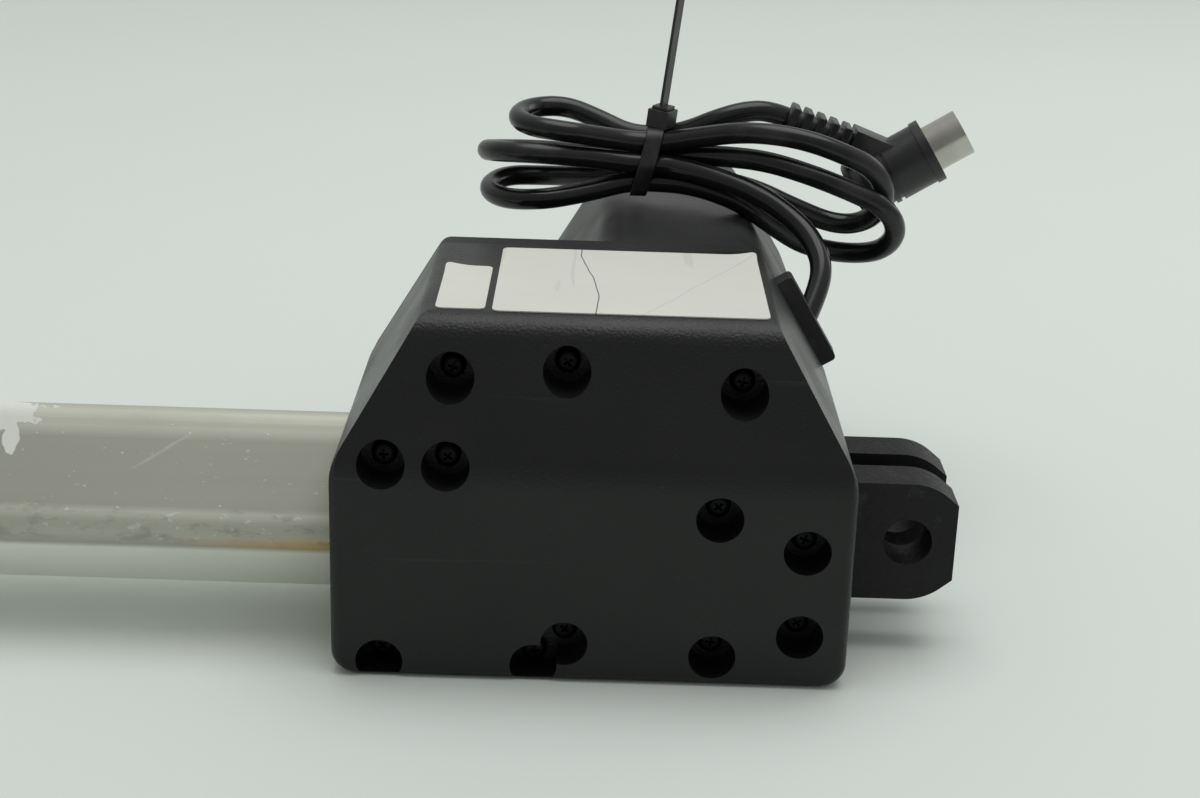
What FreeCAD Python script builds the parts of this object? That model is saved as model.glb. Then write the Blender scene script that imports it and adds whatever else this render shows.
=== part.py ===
import FreeCAD, Part
import math
import os
from types import SimpleNamespace

import Sketcher

# An electric linear actuator for a motorised bed: a moulded gear housing with a rear fork, a motor across the
# back under a cover that carries on the housing's slanted shoulders, and an aluminium guide tube from which a push
# tube slides.
# Frame: origin in the rear fork's pin bore, spindle along X with the push tube towards -X, +Z up.
# The motor lies along +Y, behind the housing.

# Driving dimensions in millimetres. Positions are measured from the rear pin bore.
SIZES = {
    # moulded housing
    "axis_height": 30.0,
    "housing_width": 126.0,
    "housing_height": 88.0,
    "side_height": 54.0,
    "top_width": 85.0,
    "top_setback": 15.5,
    "front_depth": 38.5,
    "seam_depth": 40.5,
    "pin_to_housing": 16.0,
    "housing_wall": 3.0,
    "base_round": 6.0,
    "side_round": 16.0,
    "crown_round": 4.0,
    "break_round": 22.0,
    "brow_round": 8.0,
    "rim_round": 2.5,
    "plate_thick": 7.5,
    "plate_inset": 0.4,
    # screw wells in the front of the housing
    "well_bore": 11.5,
    "well_floor": 11.0,
    "well_sill": 0.7,
    "pillar_size": 14.0,
    "boss_floor": 2.9,
    "screw_size": 3.6,
    "screw_head": 6.2,
    "screw_head_tall": 2.8,
    "short_screw": 10.5,
    "hole_play": 0.2,
    # rear and front forks
    "pin_bore": 12.2,
    "fork_width": 32.0,
    "fork_slot": 8.0,
    "fork_rise": 15.7,
    "fork_nose": 12.0,
    "fork_flat": 10.1,
    "fork_shoulder": 5.2,
    "fork_curve": 14.0,
    "flange_size": 40.0,
    "flange_thick": 4.8,
    "rod_fork_width": 26.0,
    "rod_fork_rise": 13.0,
    "rod_fork_neck": 14.0,
    "rod_stem": 20.0,
    # bearing of the spindle
    "bearing_bore": 12.0,
    "bearing_outside": 32.0,
    "bearing_wide": 10.0,
    "bearing_place": 29.5,
    "race_thick": 3.4,
    "ball_size": 5.2,
    "block_reach": 54.2,
    "block_half": 23.7,
    "block_top": 22.5,
    # spindle, worm wheel and motor line
    "wheel_place": 60.0,
    "wheel_wide": 10.0,
    "wheel_teeth": 31.0,
    "gear_pitch": 1.5,
    "hub_size": 26.0,
    "hub_long": 14.0,
    "motor_rise": 29.5,
    "spindle_size": 14.0,
    "spindle_seat": 15.0,
    "seat_long": 12.0,
    "spindle_collar": 17.0,
    "spindle_end": 284.0,
    # guide tube and push tube
    "tube_side": 37.0,
    "tube_wall": 2.4,
    "tube_round": 6.0,
    "tube_start": 92.0,
    "tube_end": 312.0,
    "plug_depth": 9.0,
    "plug_rim": 4.0,
    "nut_start": 102.0,
    "nut_long": 29.0,
    "nut_socket": 15.0,
    "nut_flat": 13.5,
    "push_size": 24.0,
    "push_wall": 2.9,
    "push_end": 325.0,
    "rod_pin": 343.0,
    "bush_long": 18.0,
    "cap_thick": 6.0,
    "cap_lip": 0.6,
    # limit switches
    "strip_wide": 6.8,
    "strip_thick": 1.4,
    "strip_low": 17.6,
    "switch_long": 12.8,
    "switch_wide": 6.0,
    "switch_tall": 3.4,
    # motor
    "cover_width": 82.4,
    "cover_long": 113.0,
    "cover_draft": 2.7,
    "cover_wall": 2.5,
    "cover_edge": 9.0,
    "cover_round": 6.0,
    "can_gap": 0.4,
    "can_wall": 1.8,
    "can_long": 87.2,
    "mount_rim": 4.5,
    "mount_thick": 4.8,
    "mount_boss": 26.0,
    "mount_margin": 3.2,
    "shaft_size": 8.0,
    "shaft_front": 26.0,
    "shaft_tail": 4.0,
    "worm_root": 8.8,
    "worm_long": 30.0,
    "air_gap": 0.8,
    "rotor_set": 19.2,
    "rotor_long": 40.0,
    "winding_step": 2.0,
    "winding_long": 6.0,
    "commutator_size": 14.0,
    "commutator_set": 2.2,
    "commutator_long": 9.5,
    "magnet_thick": 5.2,
    "magnet_sweep": 130.0,
    "brush_wide": 4.5,
    "brush_deep": 5.0,
    "brush_long": 9.0,
    "bush_size": 12.0,
    "bush_deep": 7.0,
    # cable inlet on the slanted right side
    "inlet_start": 3.0,
    "inlet_long": 26.5,
    "inlet_proud": 4.2,
    "inlet_deep": 6.6,
    # labels
    "label_deep": 53.0,
    "label_front": 17.5,
    "label_edge": 2.2,
    "label_gap": 0.8,
    "tag_edge": 3.0,
    "tag_wide": 12.0,
    "tag_deep": 36.0,
    "label_thick": 0.3,
    # cable and plug
    "cable_size": 6.0,
    "boot_long": 20.0,
    "boot_size": 9.2,
    "boot_ribs": 5.0,
    "boot_groove": 1.5,
    "elbow_long": 14.0,
    "elbow_size": 10.4,
    "plug_size": 18.4,
    "plug_long": 26.0,
    "plug_groove": 0.7,
    "groove_start": 4.0,
    "groove_pitch": 2.6,
    "shell_size": 13.8,
    "shell_long": 10.5,
    "tie_wide": 4.8,
    "tie_thick": 1.2,
    # clearances
    "seat_gap": 0.3,
    "running_gap": 0.05,
    "ball_gap": 0.12,
}

# Screw places in the front view, as (x, z). Short screws hold the inner blocks, long ones the rear cover.
SHORT_SCREWS = [(-27.5, 6.2), (-28.0, -16.1), (-49.0, -22.2), (-48.8, 14.1), (-129.5, 25.1), (-114.2, 25.1)]
LONG_SCREWS = [(-113.8, 44.5), (-86.2, 46.6), (-44.0, 42.9), (-130.1, -26.0), (-92.5, -26.0), (-85.1, -19.8)]

# Cable routes, chosen by hand, and the outer form of the tied hank as (x, y, z, half height, half depth).
# They are laid out for a motor cover whose top is at CABLE_LEVEL, and rise with it.
CABLE_LEVEL = 57.6
LEAD_ROUTE = [(-23.5, 44.4, 36.6), (-19.0, 50.5, 45.0), (-18.6, 58.0, 50.9), (-21.2, 66.0, 54.9),
              (-27.4, 72.5, 58.4), (-39.9, 81.0, 62.2), (-51.4, 88.0, 66.0)]
TAIL_ROUTE = [(-60.0, 96.0, 76.0), (-49.0, 97.5, 82.0), (-37.5, 99.0, 85.2), (-26.2, 101.0, 81.9)]
TIE_OVAL = (-66.5, 95.5, 70.2, 10.0, 8.0)
HANK_FORM = [(-116.5, 95.5, 66.4, 5.0, 4.5), (-108.0, 95.5, 67.9, 14.0, 12.0), (-90.0, 95.5, 69.3, 12.8, 11.5),
             TIE_OVAL, (-47.0, 87.4, 71.0, 10.5, 8.5), (-30.0, 81.5, 67.5, 11.5, 9.0),
             (-12.0, 81.5, 62.5, 12.0, 9.0), (1.0, 81.5, 58.5, 9.0, 8.0), (8.4, 81.5, 56.5, 4.6, 4.5)]
BOOT_ANGLE = 21.0
PLUG_COLLAR = (16.8, 101.0, 73.8)
PLUG_ANGLE = 31.9
TIE_TAIL_TOP = 127.0

doc = FreeCAD.newDocument("bed_actuator")
sheet = doc.addObject("Spreadsheet::Sheet", "sizes")
for line, (word, number) in enumerate(SIZES.items(), start=1):
    sheet.set("A%d" % line, word)
    sheet.set("B%d" % line, str(number))
    sheet.setAlias("B%d" % line, word)
doc.recompute()

pieces = []


class Size:
    """A length that remembers the formula it came from, so that it can be bound to the sheet."""

    def __init__(self, value, formula):
        self.value = value
        self.formula = formula

    @staticmethod
    def of(amount):
        if isinstance(amount, Size):
            return amount
        return Size(float(amount), "(%r)" % float(amount))

    def joined(self, sign, other, value):
        return Size(value, "(%s %s %s)" % (self.formula, sign, other.formula))

    def __add__(self, other):
        other = Size.of(other)
        return self.joined("+", other, self.value + other.value)

    def __radd__(self, other):
        return Size.of(other) + self

    def __sub__(self, other):
        other = Size.of(other)
        return self.joined("-", other, self.value - other.value)

    def __rsub__(self, other):
        return Size.of(other) - self

    def __mul__(self, other):
        other = Size.of(other)
        return self.joined("*", other, self.value * other.value)

    def __rmul__(self, other):
        return Size.of(other) * self

    def __truediv__(self, other):
        other = Size.of(other)
        return self.joined("/", other, self.value / other.value)

    def __neg__(self):
        return 0 - self


d = SimpleNamespace(**{word: Size(number, "sizes." + word) for word, number in SIZES.items()})


def half_turn(run, rise):
    """Tangent of half the angle between the vertical and a line that leans by run over rise."""
    value = math.tan(math.atan2(run.value, rise.value) / 2)
    return Size(value, "tan(atan(%s / %s) / 2)" % (run.formula, rise.formula))


def bind(thing, name, amount):
    thing.setExpression(name, Size.of(amount).formula)


def place(thing, x=0, y=0, z=0, rotation=None):
    """Puts a piece at a bound position, turned by a fixed rotation."""
    thing.Placement = FreeCAD.Placement(FreeCAD.Vector(), rotation or FreeCAD.Rotation())
    for axis, amount in zip("xyz", (x, y, z)):
        bind(thing, "Placement.Base." + axis, amount)
    return thing


def finished(thing, label):
    """Marks an object as one of the physical pieces."""
    thing.Label = label
    pieces.append(thing)
    return thing


# PartDesign helpers
def origin_part(body, role):
    return next(item for item in body.Origin.OriginFeatures if item.Role == role)


def new_body(name):
    return doc.addObject("PartDesign::Body", name)


def corner_points(spots, rounds):
    """The end of the line into, and the start of the line out of, each corner, and the arc between them."""
    result = []
    for index, (here, radius) in enumerate(zip(spots, rounds)):
        if radius is None:
            result.append((here, here, None))
            continue
        back = (spots[index - 1] - here).normalize()
        ahead = (spots[(index + 1) % len(spots)] - here).normalize()
        half = back.getAngle(ahead) / 2
        start = here + back * (radius.value / math.tan(half))
        end = here + ahead * (radius.value / math.tan(half))
        centre = here + (back + ahead).normalize() * (radius.value / math.sin(half))
        from_turn = math.atan2(start.y - centre.y, start.x - centre.x)
        to_turn = math.atan2(end.y - centre.y, end.x - centre.x)
        if (to_turn - from_turn) % (2 * math.pi) > math.pi:
            from_turn, to_turn = to_turn, from_turn
        circle = Part.Circle(centre, Z_WAY, radius.value)
        result.append((start, end, Part.ArcOfCircle(circle, from_turn, to_turn)))
    return result


def outline(body, name, role, corners, offset=0):
    """A closed sketch through corners (across, up, round), all bound to the sheet."""
    sketch = body.newObject("Sketcher::SketchObject", name)
    sketch.AttachmentSupport = (origin_part(body, role), [""])
    sketch.MapMode = "FlatFace"
    bind(sketch, "AttachmentOffset.Base.z", offset)
    corners = [tuple(Size.of(value) for value in corner) for corner in corners]
    rounds = [corner[2] if len(corner) > 2 else None for corner in corners]
    spots = [FreeCAD.Vector(corner[0].value, corner[1].value, 0) for corner in corners]
    joints = corner_points(spots, rounds)
    lines = []
    for index in range(len(spots)):
        after = joints[(index + 1) % len(spots)]
        lines.append(sketch.addGeometry(Part.LineSegment(joints[index][1], after[0]), False))

    def measured(kind, label, amount, *where):
        number = sketch.addConstraint(Sketcher.Constraint(kind, *where, amount.value))
        sketch.renameConstraint(number, label)
        bind(sketch, "Constraints." + label, amount)

    for index, (start, end, arc) in enumerate(joints):
        spot = sketch.addGeometry(Part.Point(spots[index]), True)
        measured("DistanceX", "across%d" % index, corners[index][0], -1, 1, spot, 1)
        measured("DistanceY", "up%d" % index, corners[index][1], -1, 1, spot, 1)
        into, out = lines[index - 1], lines[index]
        if arc is None:
            sketch.addConstraint(Sketcher.Constraint("Coincident", into, 2, spot, 1))
            sketch.addConstraint(Sketcher.Constraint("Coincident", out, 1, spot, 1))
            continue
        sketch.addConstraint(Sketcher.Constraint("PointOnObject", spot, 1, into))
        sketch.addConstraint(Sketcher.Constraint("PointOnObject", spot, 1, out))
        bend = sketch.addGeometry(arc, False)
        first = 1 if sketch.Geometry[bend].StartPoint.distanceToPoint(start) < 1e-6 else 2
        sketch.addConstraint(Sketcher.Constraint("Tangent", into, 2, bend, first))
        sketch.addConstraint(Sketcher.Constraint("Tangent", out, 1, bend, 3 - first))
        measured("Radius", "round%d" % index, rounds[index], bend)
    doc.recompute()
    return sketch


def pad(body, name, sketch, length, reverse=False):
    feature = body.newObject("PartDesign::Pad", name)
    feature.Profile = sketch
    feature.Reversed = reverse
    bind(feature, "Length", length)
    doc.recompute()
    return feature


def pocket(body, name, sketch, length, reverse=False):
    """A cut that has to take something away."""
    before = body.Shape.Volume
    feature = body.newObject("PartDesign::Pocket", name)
    feature.Profile = sketch
    feature.Reversed = reverse
    bind(feature, "Length", length)
    doc.recompute()
    if not feature.Shape.Volume < before - 1e-3:
        raise RuntimeError("%s cuts nothing from %s" % (name, body.Name))
    return feature


def fillet(body, name, wanted, radius):
    """Rounds the edges of the body's last feature for which wanted(edge) is true."""
    base = body.Tip
    names = ["Edge%d" % number for number, edge in enumerate(base.Shape.Edges, start=1) if wanted(edge)]
    feature = body.newObject("PartDesign::Fillet", name)
    feature.Base = (base, names)
    bind(feature, "Radius", radius)
    doc.recompute()
    return feature


def spin(body, name, sketch, axis, kind="Revolution"):
    feature = body.newObject("PartDesign::" + kind, name)
    feature.Profile = sketch
    feature.ReferenceAxis = (origin_part(body, axis), [""])
    feature.Angle = 360.0
    doc.recompute()
    return feature


def turned(label, axis, profile, x=0, y=0, z=0, rotation=None, piece=True):
    """A turned piece: profile is (along, radius, round) about the body's own X or Y axis."""
    body = new_body(label)
    if axis == "X_Axis":
        corners = profile
    else:
        corners = [(corner[1], corner[0], *corner[2:]) for corner in profile]
    spin(body, label + "_turning", outline(body, label + "_profile", "XY_Plane", corners), axis)
    place(body, x, y, z, rotation)
    return finished(body, label) if piece else body


def ring_profile(start, end, inner, outer):
    return [(start, inner), (end, inner), (end, outer), (start, outer)]


def rod_profile(start, end, radius):
    return ring_profile(start, end, 0, radius)


def parallel_to(direction):
    """Picks the straight edges along a direction."""
    def wanted(edge):
        if not isinstance(edge.Curve, (Part.Line, Part.LineSegment)):
            return False
        along = edge.Vertexes[-1].Point - edge.Vertexes[0].Point
        return along.cross(direction).Length < 1e-6 * along.Length
    return wanted


X_WAY = FreeCAD.Vector(1, 0, 0)
Y_WAY = FreeCAD.Vector(0, 1, 0)
Z_WAY = FreeCAD.Vector(0, 0, 1)
ALONG_X = FreeCAD.Rotation(Z_WAY, X_WAY)
ALONG_Y = FreeCAD.Rotation(Z_WAY, Y_WAY)


# Part helpers
def cylinder(name, radius, length, x, y, z, rotation=ALONG_Y):
    thing = doc.addObject("Part::Cylinder", name)
    bind(thing, "Radius", radius)
    bind(thing, "Height", length)
    return place(thing, x, y, z, rotation)


def box(name, x, y, z, long, wide, tall, rotation=None):
    thing = doc.addObject("Part::Box", name)
    for side, amount in (("Length", long), ("Width", wide), ("Height", tall)):
        bind(thing, side, amount)
    return place(thing, x, y, z, rotation)


def fused(name, things):
    if len(things) == 1:
        return things[0]
    thing = doc.addObject("Part::MultiFuse", name)
    thing.Shapes = things
    return thing


def common(name, base, tool):
    thing = doc.addObject("Part::Common", name)
    thing.Base = base
    thing.Tool = tool
    return thing


def less(name, base, tools):
    thing = doc.addObject("Part::Cut", name)
    thing.Base = base
    thing.Tool = fused(name + "_cutters", tools)
    return thing


def group(name, things):
    thing = doc.addObject("Part::Compound", name)
    thing.Links = things
    return thing


# Places that several pieces share
housing_right = -d.pin_to_housing
housing_left = -d.pin_to_housing - d.housing_width
housing_middle = -d.pin_to_housing - d.housing_width / 2
floor = -d.axis_height
roof = d.housing_height - d.axis_height
shoulder = d.side_height - d.axis_height
side_run = (d.housing_width - d.top_width) / 2
side_rise = d.housing_height - d.side_height
plate_back = d.seam_depth + d.plate_thick
motor_x = -d.wheel_place
cover_middle = housing_right - d.cover_width / 2
cover_inside = d.plate_inset + d.cover_wall
can_outer = roof - cover_inside - d.cover_draft - d.can_gap - d.motor_rise
mount_ring = can_outer + d.mount_margin
tube_inside = d.tube_side - 2 * d.tube_wall
tube_inner_round = d.tube_round - d.tube_wall
QUARTER = FreeCAD.Rotation(X_WAY, 45)


def housing_corners(inset, rounds, middle=housing_middle, width=d.housing_width):
    """The housing's end view, drawn in by inset: upright sides, slanted shoulders and a flat roof."""
    lean = half_turn(side_run, side_rise)
    crown = half_turn(side_rise, side_run)
    base_round, side_round, crown_round = rounds
    half = width / 2 - inset
    top_half = width / 2 - side_run - inset * crown
    low, high = floor + inset, roof - inset
    knee = shoulder - inset * lean
    return [(middle - half, low, base_round), (middle + half, low, base_round),
            (middle + half, knee, side_round), (middle + top_half, high, crown_round),
            (middle - top_half, high, crown_round), (middle - half, knee, side_round)]


def at_front(edge):
    return edge.BoundBox.YMax < 0.01 - d.front_depth.value


def housing_form(name, inset, rounds, break_round, brow_round, rim_round=None):
    """The deep front moulding as a solid: an end view drawn through, with its brow sloped back."""
    body = new_body(name)
    bulk = outline(body, name + "_end_view", "XZ_Plane", housing_corners(inset, rounds), -d.seam_depth)
    pad(body, name + "_bulk", bulk, d.seam_depth + d.front_depth - inset)
    if rim_round is not None:
        fillet(body, name + "_rim", at_front, rim_round)
    lean = half_turn(d.top_setback, side_rise)
    crown = half_turn(side_rise, d.top_setback)
    face = inset - d.front_depth
    brow = d.top_setback - d.front_depth + inset * crown
    knee = shoulder - inset * lean
    high = roof - inset
    spare = d.housing_wall * 8
    side = [(face, knee, break_round), (brow, high, brow_round), (brow + spare, high),
            (brow + spare, high + spare), (face - spare, high + spare), (face - spare, knee - spare),
            (face, knee - spare)]
    sketch = outline(body, name + "_side_view", "YZ_Plane", side, housing_left - spare)
    pocket(body, name + "_brow", sketch, d.housing_width + 2 * spare, reverse=True)
    return body


def square_corners(side, rounding):
    half = side / 2
    return [(-half, -half, rounding), (half, -half, rounding), (half, half, rounding), (-half, half, rounding)]


def diamond(name, side, rounding, start, length):
    """A rounded square bar along X, standing on its corner, from start towards -X."""
    body = new_body(name)
    pad(body, name + "_bar", outline(body, name + "_section", "YZ_Plane", square_corners(side, rounding)),
        length, reverse=True)
    return place(body, start, 0, 0, QUARTER)


def round_hole(name, radius, start, length):
    """A cutter along X from start towards -X."""
    return cylinder(name, radius, length, start - length, 0, 0, ALONG_X)


# Front housing: a shell with pillars for the long screws and short bosses for the inner blocks
face = -d.front_depth
well_floor = face + d.well_floor
brow_floor = face + d.top_setback * 0.6 + d.well_floor
boss_end = well_floor + d.boss_floor
screw_hole = d.screw_size / 2 + d.hole_play


def floor_of(z):
    """How deep the well of a screw at this height goes."""
    return brow_floor if z > shoulder.value + 6 else well_floor


outer_form = housing_form("housing_outer", Size.of(0), (d.base_round, d.side_round, d.crown_round),
                          d.break_round, d.brow_round, d.rim_round)
cavity = housing_form("housing_cavity", d.housing_wall,
                      (d.base_round - d.housing_wall, d.side_round - d.housing_wall,
                       d.crown_round - d.housing_wall),
                      d.break_round - d.housing_wall, d.brow_round - d.housing_wall)
pillars = []
wells = []
for number, (x, z) in enumerate(SHORT_SCREWS + LONG_SCREWS):
    short = number < len(SHORT_SCREWS)
    pillar_end = boss_end if short else d.seam_depth
    pillars.append(cylinder("pillar_%d" % number, d.pillar_size / 2, pillar_end - face, x, face, z))
    well = cylinder("well_%d" % number, d.well_bore / 2, floor_of(z) - face + 1, x, face - 1, z)
    if z - SIZES["well_bore"] / 2 < floor.value:
        sill = box("sill_%d" % number, x - d.well_bore, face - 2, floor - d.well_bore, 2 * d.well_bore,
                   d.well_floor + 4, d.well_bore + d.well_sill)
        well = less("well_over_sill_%d" % number, well, [sill])
    wells.append(well)
    wells.append(cylinder("screw_hole_%d" % number, screw_hole, d.seam_depth * 2 + d.front_depth, x, face, z))
bush_end = -d.front_depth / 2
bush_start = bush_end - d.bush_deep
pillars.append(cylinder("bush_boss", d.bush_size / 2 + d.housing_wall, bush_end - face, motor_x, face, d.motor_rise))
bush_seat = cylinder("bush_seat", d.bush_size / 2 + d.running_gap, d.bush_deep + d.seat_gap, motor_x,
                     bush_start - d.seat_gap, d.motor_rise)
tube_room = diamond("tube_room", d.tube_side + 2 * d.seat_gap, d.tube_round + d.seat_gap,
                    d.plug_rim + d.seat_gap - d.tube_start, d.tube_end - d.tube_start)
fork_room = box("fork_room", -d.pin_to_housing - d.housing_wall - 1, -d.fork_width / 2 - d.seat_gap,
                -d.fork_rise - d.seat_gap, d.housing_wall + 2, d.fork_width + 2 * d.seat_gap,
                2 * (d.fork_rise + d.seat_gap))
room = less("room", cavity, pillars)
shell = less("shell", outer_form, [room])
front_housing = less("front_housing_cut", shell, wells + [bush_seat, tube_room, fork_room])
finished(front_housing, "front_housing")

# Rear housing: the back plate that carries the motor and its cover
rear = new_body("rear_plate")
inset_rounds = (d.base_round - d.plate_inset, d.side_round - d.plate_inset, d.crown_round - d.plate_inset)
rear_view = outline(rear, "rear_view", "XZ_Plane", housing_corners(d.plate_inset, inset_rounds), -plate_back)
pad(rear, "rear_slab", rear_view, d.plate_thick)
mount_turns = [0, 180, 270]
mount_places = []
for turn in mount_turns:
    across = math.cos(math.radians(turn))
    up = math.sin(math.radians(turn))
    mount_places.append((motor_x + mount_ring * across, d.motor_rise + mount_ring * up))
rear_cuts = [cylinder("mount_bore", d.mount_boss / 2 + d.hole_play, d.plate_thick + 2, motor_x, d.seam_depth - 1,
                      d.motor_rise)]
for number, (x, z) in enumerate(LONG_SCREWS):
    rear_cuts.append(cylinder("rear_hole_%d" % number, screw_hole, d.plate_thick - 0.9, x, d.seam_depth - 0.1, z))
for number, (x, z) in enumerate(mount_places):
    rear_cuts.append(cylinder("mount_hole_%d" % number, screw_hole, d.plate_thick - 1.5, x, d.seam_depth + 2, z))
lead_start = FreeCAD.Vector(*LEAD_ROUTE[0])
lead_way = FreeCAD.Vector(*LEAD_ROUTE[1]) - lead_start
cable_hole = cylinder("cable_hole", d.cable_size / 2 + d.hole_play, d.plate_thick * 2,
                      *(lead_start - lead_way * 0.1), FreeCAD.Rotation(Z_WAY, lead_way))
rear_cuts.append(cable_hole)
finished(less("rear_housing_cut", rear, rear_cuts), "rear_housing")

# Motor cover: a drafted cup whose right side is flush with the plate's slanted shoulder
cover_back = plate_back + d.cover_long


def cover_view(body, name, inset, edge_round, y):
    """One end view of the cover, drawn in by inset."""
    corners = housing_corners(inset, (edge_round, d.side_round, edge_round), cover_middle, d.cover_width)
    return outline(body, name, "XZ_Plane", corners, -y)


def cover_form(name, inset, edge_round, end_round, back):
    """The cover as a solid, narrower at its back by the draft, with its back edges rounded."""
    body = new_body(name)
    front = cover_view(body, name + "_front_view", inset, edge_round, plate_back)
    drafted = pad(body, name + "_draft", front, back - plate_back, reverse=True)
    drafted.setExpression("TaperAngle", "-atan(sizes.cover_draft / sizes.cover_long)")
    doc.recompute()
    fillet(body, name + "_end", lambda edge: edge.BoundBox.YMin > back.value - 0.01, end_round)
    return body


cover_outer = cover_form("cover_outer", d.plate_inset, d.cover_edge, d.cover_round, cover_back)
cover_hollow = cover_form("cover_hollow", cover_inside, d.cover_edge - d.cover_wall, d.cover_round - d.cover_wall,
                          cover_back - d.cover_wall)
finished(less("motor_cover_cut", cover_outer, [cover_hollow]), "motor_cover")


def screw(name, x, z, seat, shank, head=d.screw_head):
    """A pan-head screw along Y whose head rests on seat; the shank runs from there over its length."""
    top = cylinder(name + "_head", head / 2, d.screw_head_tall, x, seat - d.screw_head_tall, z)
    stem = cylinder(name + "_shank", d.screw_size / 2, shank, x, seat - 1, z)
    return fused(name, [top, stem])


long_end = plate_back - 1.5
finished(group("long_screws", [screw("long_%d" % number, x, z, floor_of(z), long_end - floor_of(z))
                               for number, (x, z) in enumerate(LONG_SCREWS)]), "housing_screws")
finished(group("short_screws", [screw("short_%d" % number, x, z, well_floor, d.short_screw)
                                for number, (x, z) in enumerate(SHORT_SCREWS)]), "block_screws")

# Bearing block behind the right-hand bosses, and the clamp that holds the guide tube
block_start = -d.pin_to_housing - d.housing_wall - d.flange_thick - 2 * d.seat_gap
block_front = boss_end + d.seat_gap
block_low = floor + d.housing_wall + d.seat_gap
bearing_end = -d.bearing_place - d.bearing_wide
block_solid = box("block_solid", -d.block_reach, block_front, block_low, d.block_reach + block_start,
                  d.block_half - block_front, d.block_top - block_low)
block_cuts = [round_hole("block_seat", d.bearing_outside / 2 + d.running_gap, block_start + 1,
                         block_start + 1 - bearing_end + d.running_gap),
              round_hole("block_way", d.hub_size / 2 + d.seat_gap, block_start, d.block_reach)]
clamp_solid = box("clamp_solid", housing_left + d.well_floor - d.housing_wall, block_front, d.well_bore / 2,
                  d.pillar_size * 2, -2 * block_front, d.motor_rise - d.well_bore / 2)
clamp_cuts = [diamond("clamp_room", d.tube_side + d.hole_play, d.tube_round + d.hole_play / 2,
                      d.plug_rim - d.tube_start, d.tube_end - d.tube_start)]
for number, (x, z) in enumerate(SHORT_SCREWS):
    hole = cylinder("thread_%d" % number, screw_hole, d.short_screw, x, well_floor - 0.7, z)
    if x > motor_x.value:
        block_cuts.append(hole)
    else:
        clamp_cuts.append(hole)
finished(less("bearing_block_cut", block_solid, block_cuts), "bearing_block")
finished(less("tube_clamp_cut", clamp_solid, clamp_cuts), "tube_clamp")


def fork(label, width, rise, neck):
    """A clevis with its pin bore along Y at the origin and its nose towards +X; its body runs back to -neck."""
    body = new_body(label)
    side = [(-neck, -rise), (d.fork_shoulder, -rise, d.fork_curve), (d.fork_nose, -d.fork_flat * rise / d.fork_rise),
            (d.fork_nose, d.fork_flat * rise / d.fork_rise), (d.fork_shoulder, rise, d.fork_curve), (-neck, rise)]
    pad(body, label + "_ears", outline(body, label + "_side", "XZ_Plane", side, -width / 2), width)
    return body


def fork_cuts(label, width, slot_floor):
    slot = box(label + "_slot", slot_floor, -d.fork_slot / 2, -d.fork_rise - 1, d.fork_nose - slot_floor + 1,
               d.fork_slot, 2 * (d.fork_rise + 1))
    bore = cylinder(label + "_bore", d.pin_bore / 2, width + 2, 0, -width / 2 - 1, 0)
    return [slot, bore]


# Rear fork: ears outside, flange inside the wall and a spigot that holds the bearing
flange_start = -d.pin_to_housing - d.housing_wall - d.seat_gap
flange_end = flange_start - d.flange_thick
spigot_end = d.seat_gap - d.bearing_place
rear_ears = fork("rear_ears", d.fork_width, d.fork_rise, -flange_start)
flange = box("rear_flange", flange_end, -d.flange_size / 2, -d.flange_size / 2, d.flange_thick, d.flange_size,
             d.flange_size)
spigot = round_hole("rear_spigot", d.bearing_outside / 2 - d.seat_gap, flange_start, flange_start - spigot_end)
recess = round_hole("rear_recess", d.bearing_outside / 3, spigot_end + 3, 4)
rear_whole = fused("rear_fork_whole", [rear_ears, flange, spigot])
finished(less("rear_clevis_cut", rear_whole, fork_cuts("rear", d.fork_width, 1 - d.pin_to_housing) + [recess]),
         "rear_clevis")

# Ball bearing
ball_circle = (d.bearing_outside / 2 + d.bearing_bore / 2) / 2
groove = d.ball_size / 2 + d.ball_gap
bearing_middle = -d.bearing_place - d.bearing_wide / 2
bearing_front = -d.bearing_place


def race(label, rim, bed, groove_floor):
    """A bearing ring between radii rim and bed, with a square-sided groove for the balls in its bed."""
    turned(label, "X_Axis",
           [(bearing_front, rim), (bearing_end, rim), (bearing_end, bed), (bearing_middle - groove, bed),
            (bearing_middle - groove, groove_floor), (bearing_middle + groove, groove_floor),
            (bearing_middle + groove, bed), (bearing_front, bed)])


race("bearing_outer_ring", d.bearing_outside / 2, d.bearing_outside / 2 - d.race_thick, ball_circle + groove)
race("bearing_inner_ring", d.bearing_bore / 2 + d.running_gap, d.bearing_bore / 2 + d.race_thick,
     ball_circle - groove)
balls = []
for number in range(8):
    turn = math.radians(45 * number)
    ball = doc.addObject("Part::Sphere", "ball_%d" % number)
    bind(ball, "Radius", d.ball_size / 2)
    balls.append(place(ball, bearing_middle, ball_circle * math.cos(turn), ball_circle * math.sin(turn)))
finished(group("ball_ring", balls), "bearing_balls")

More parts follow.
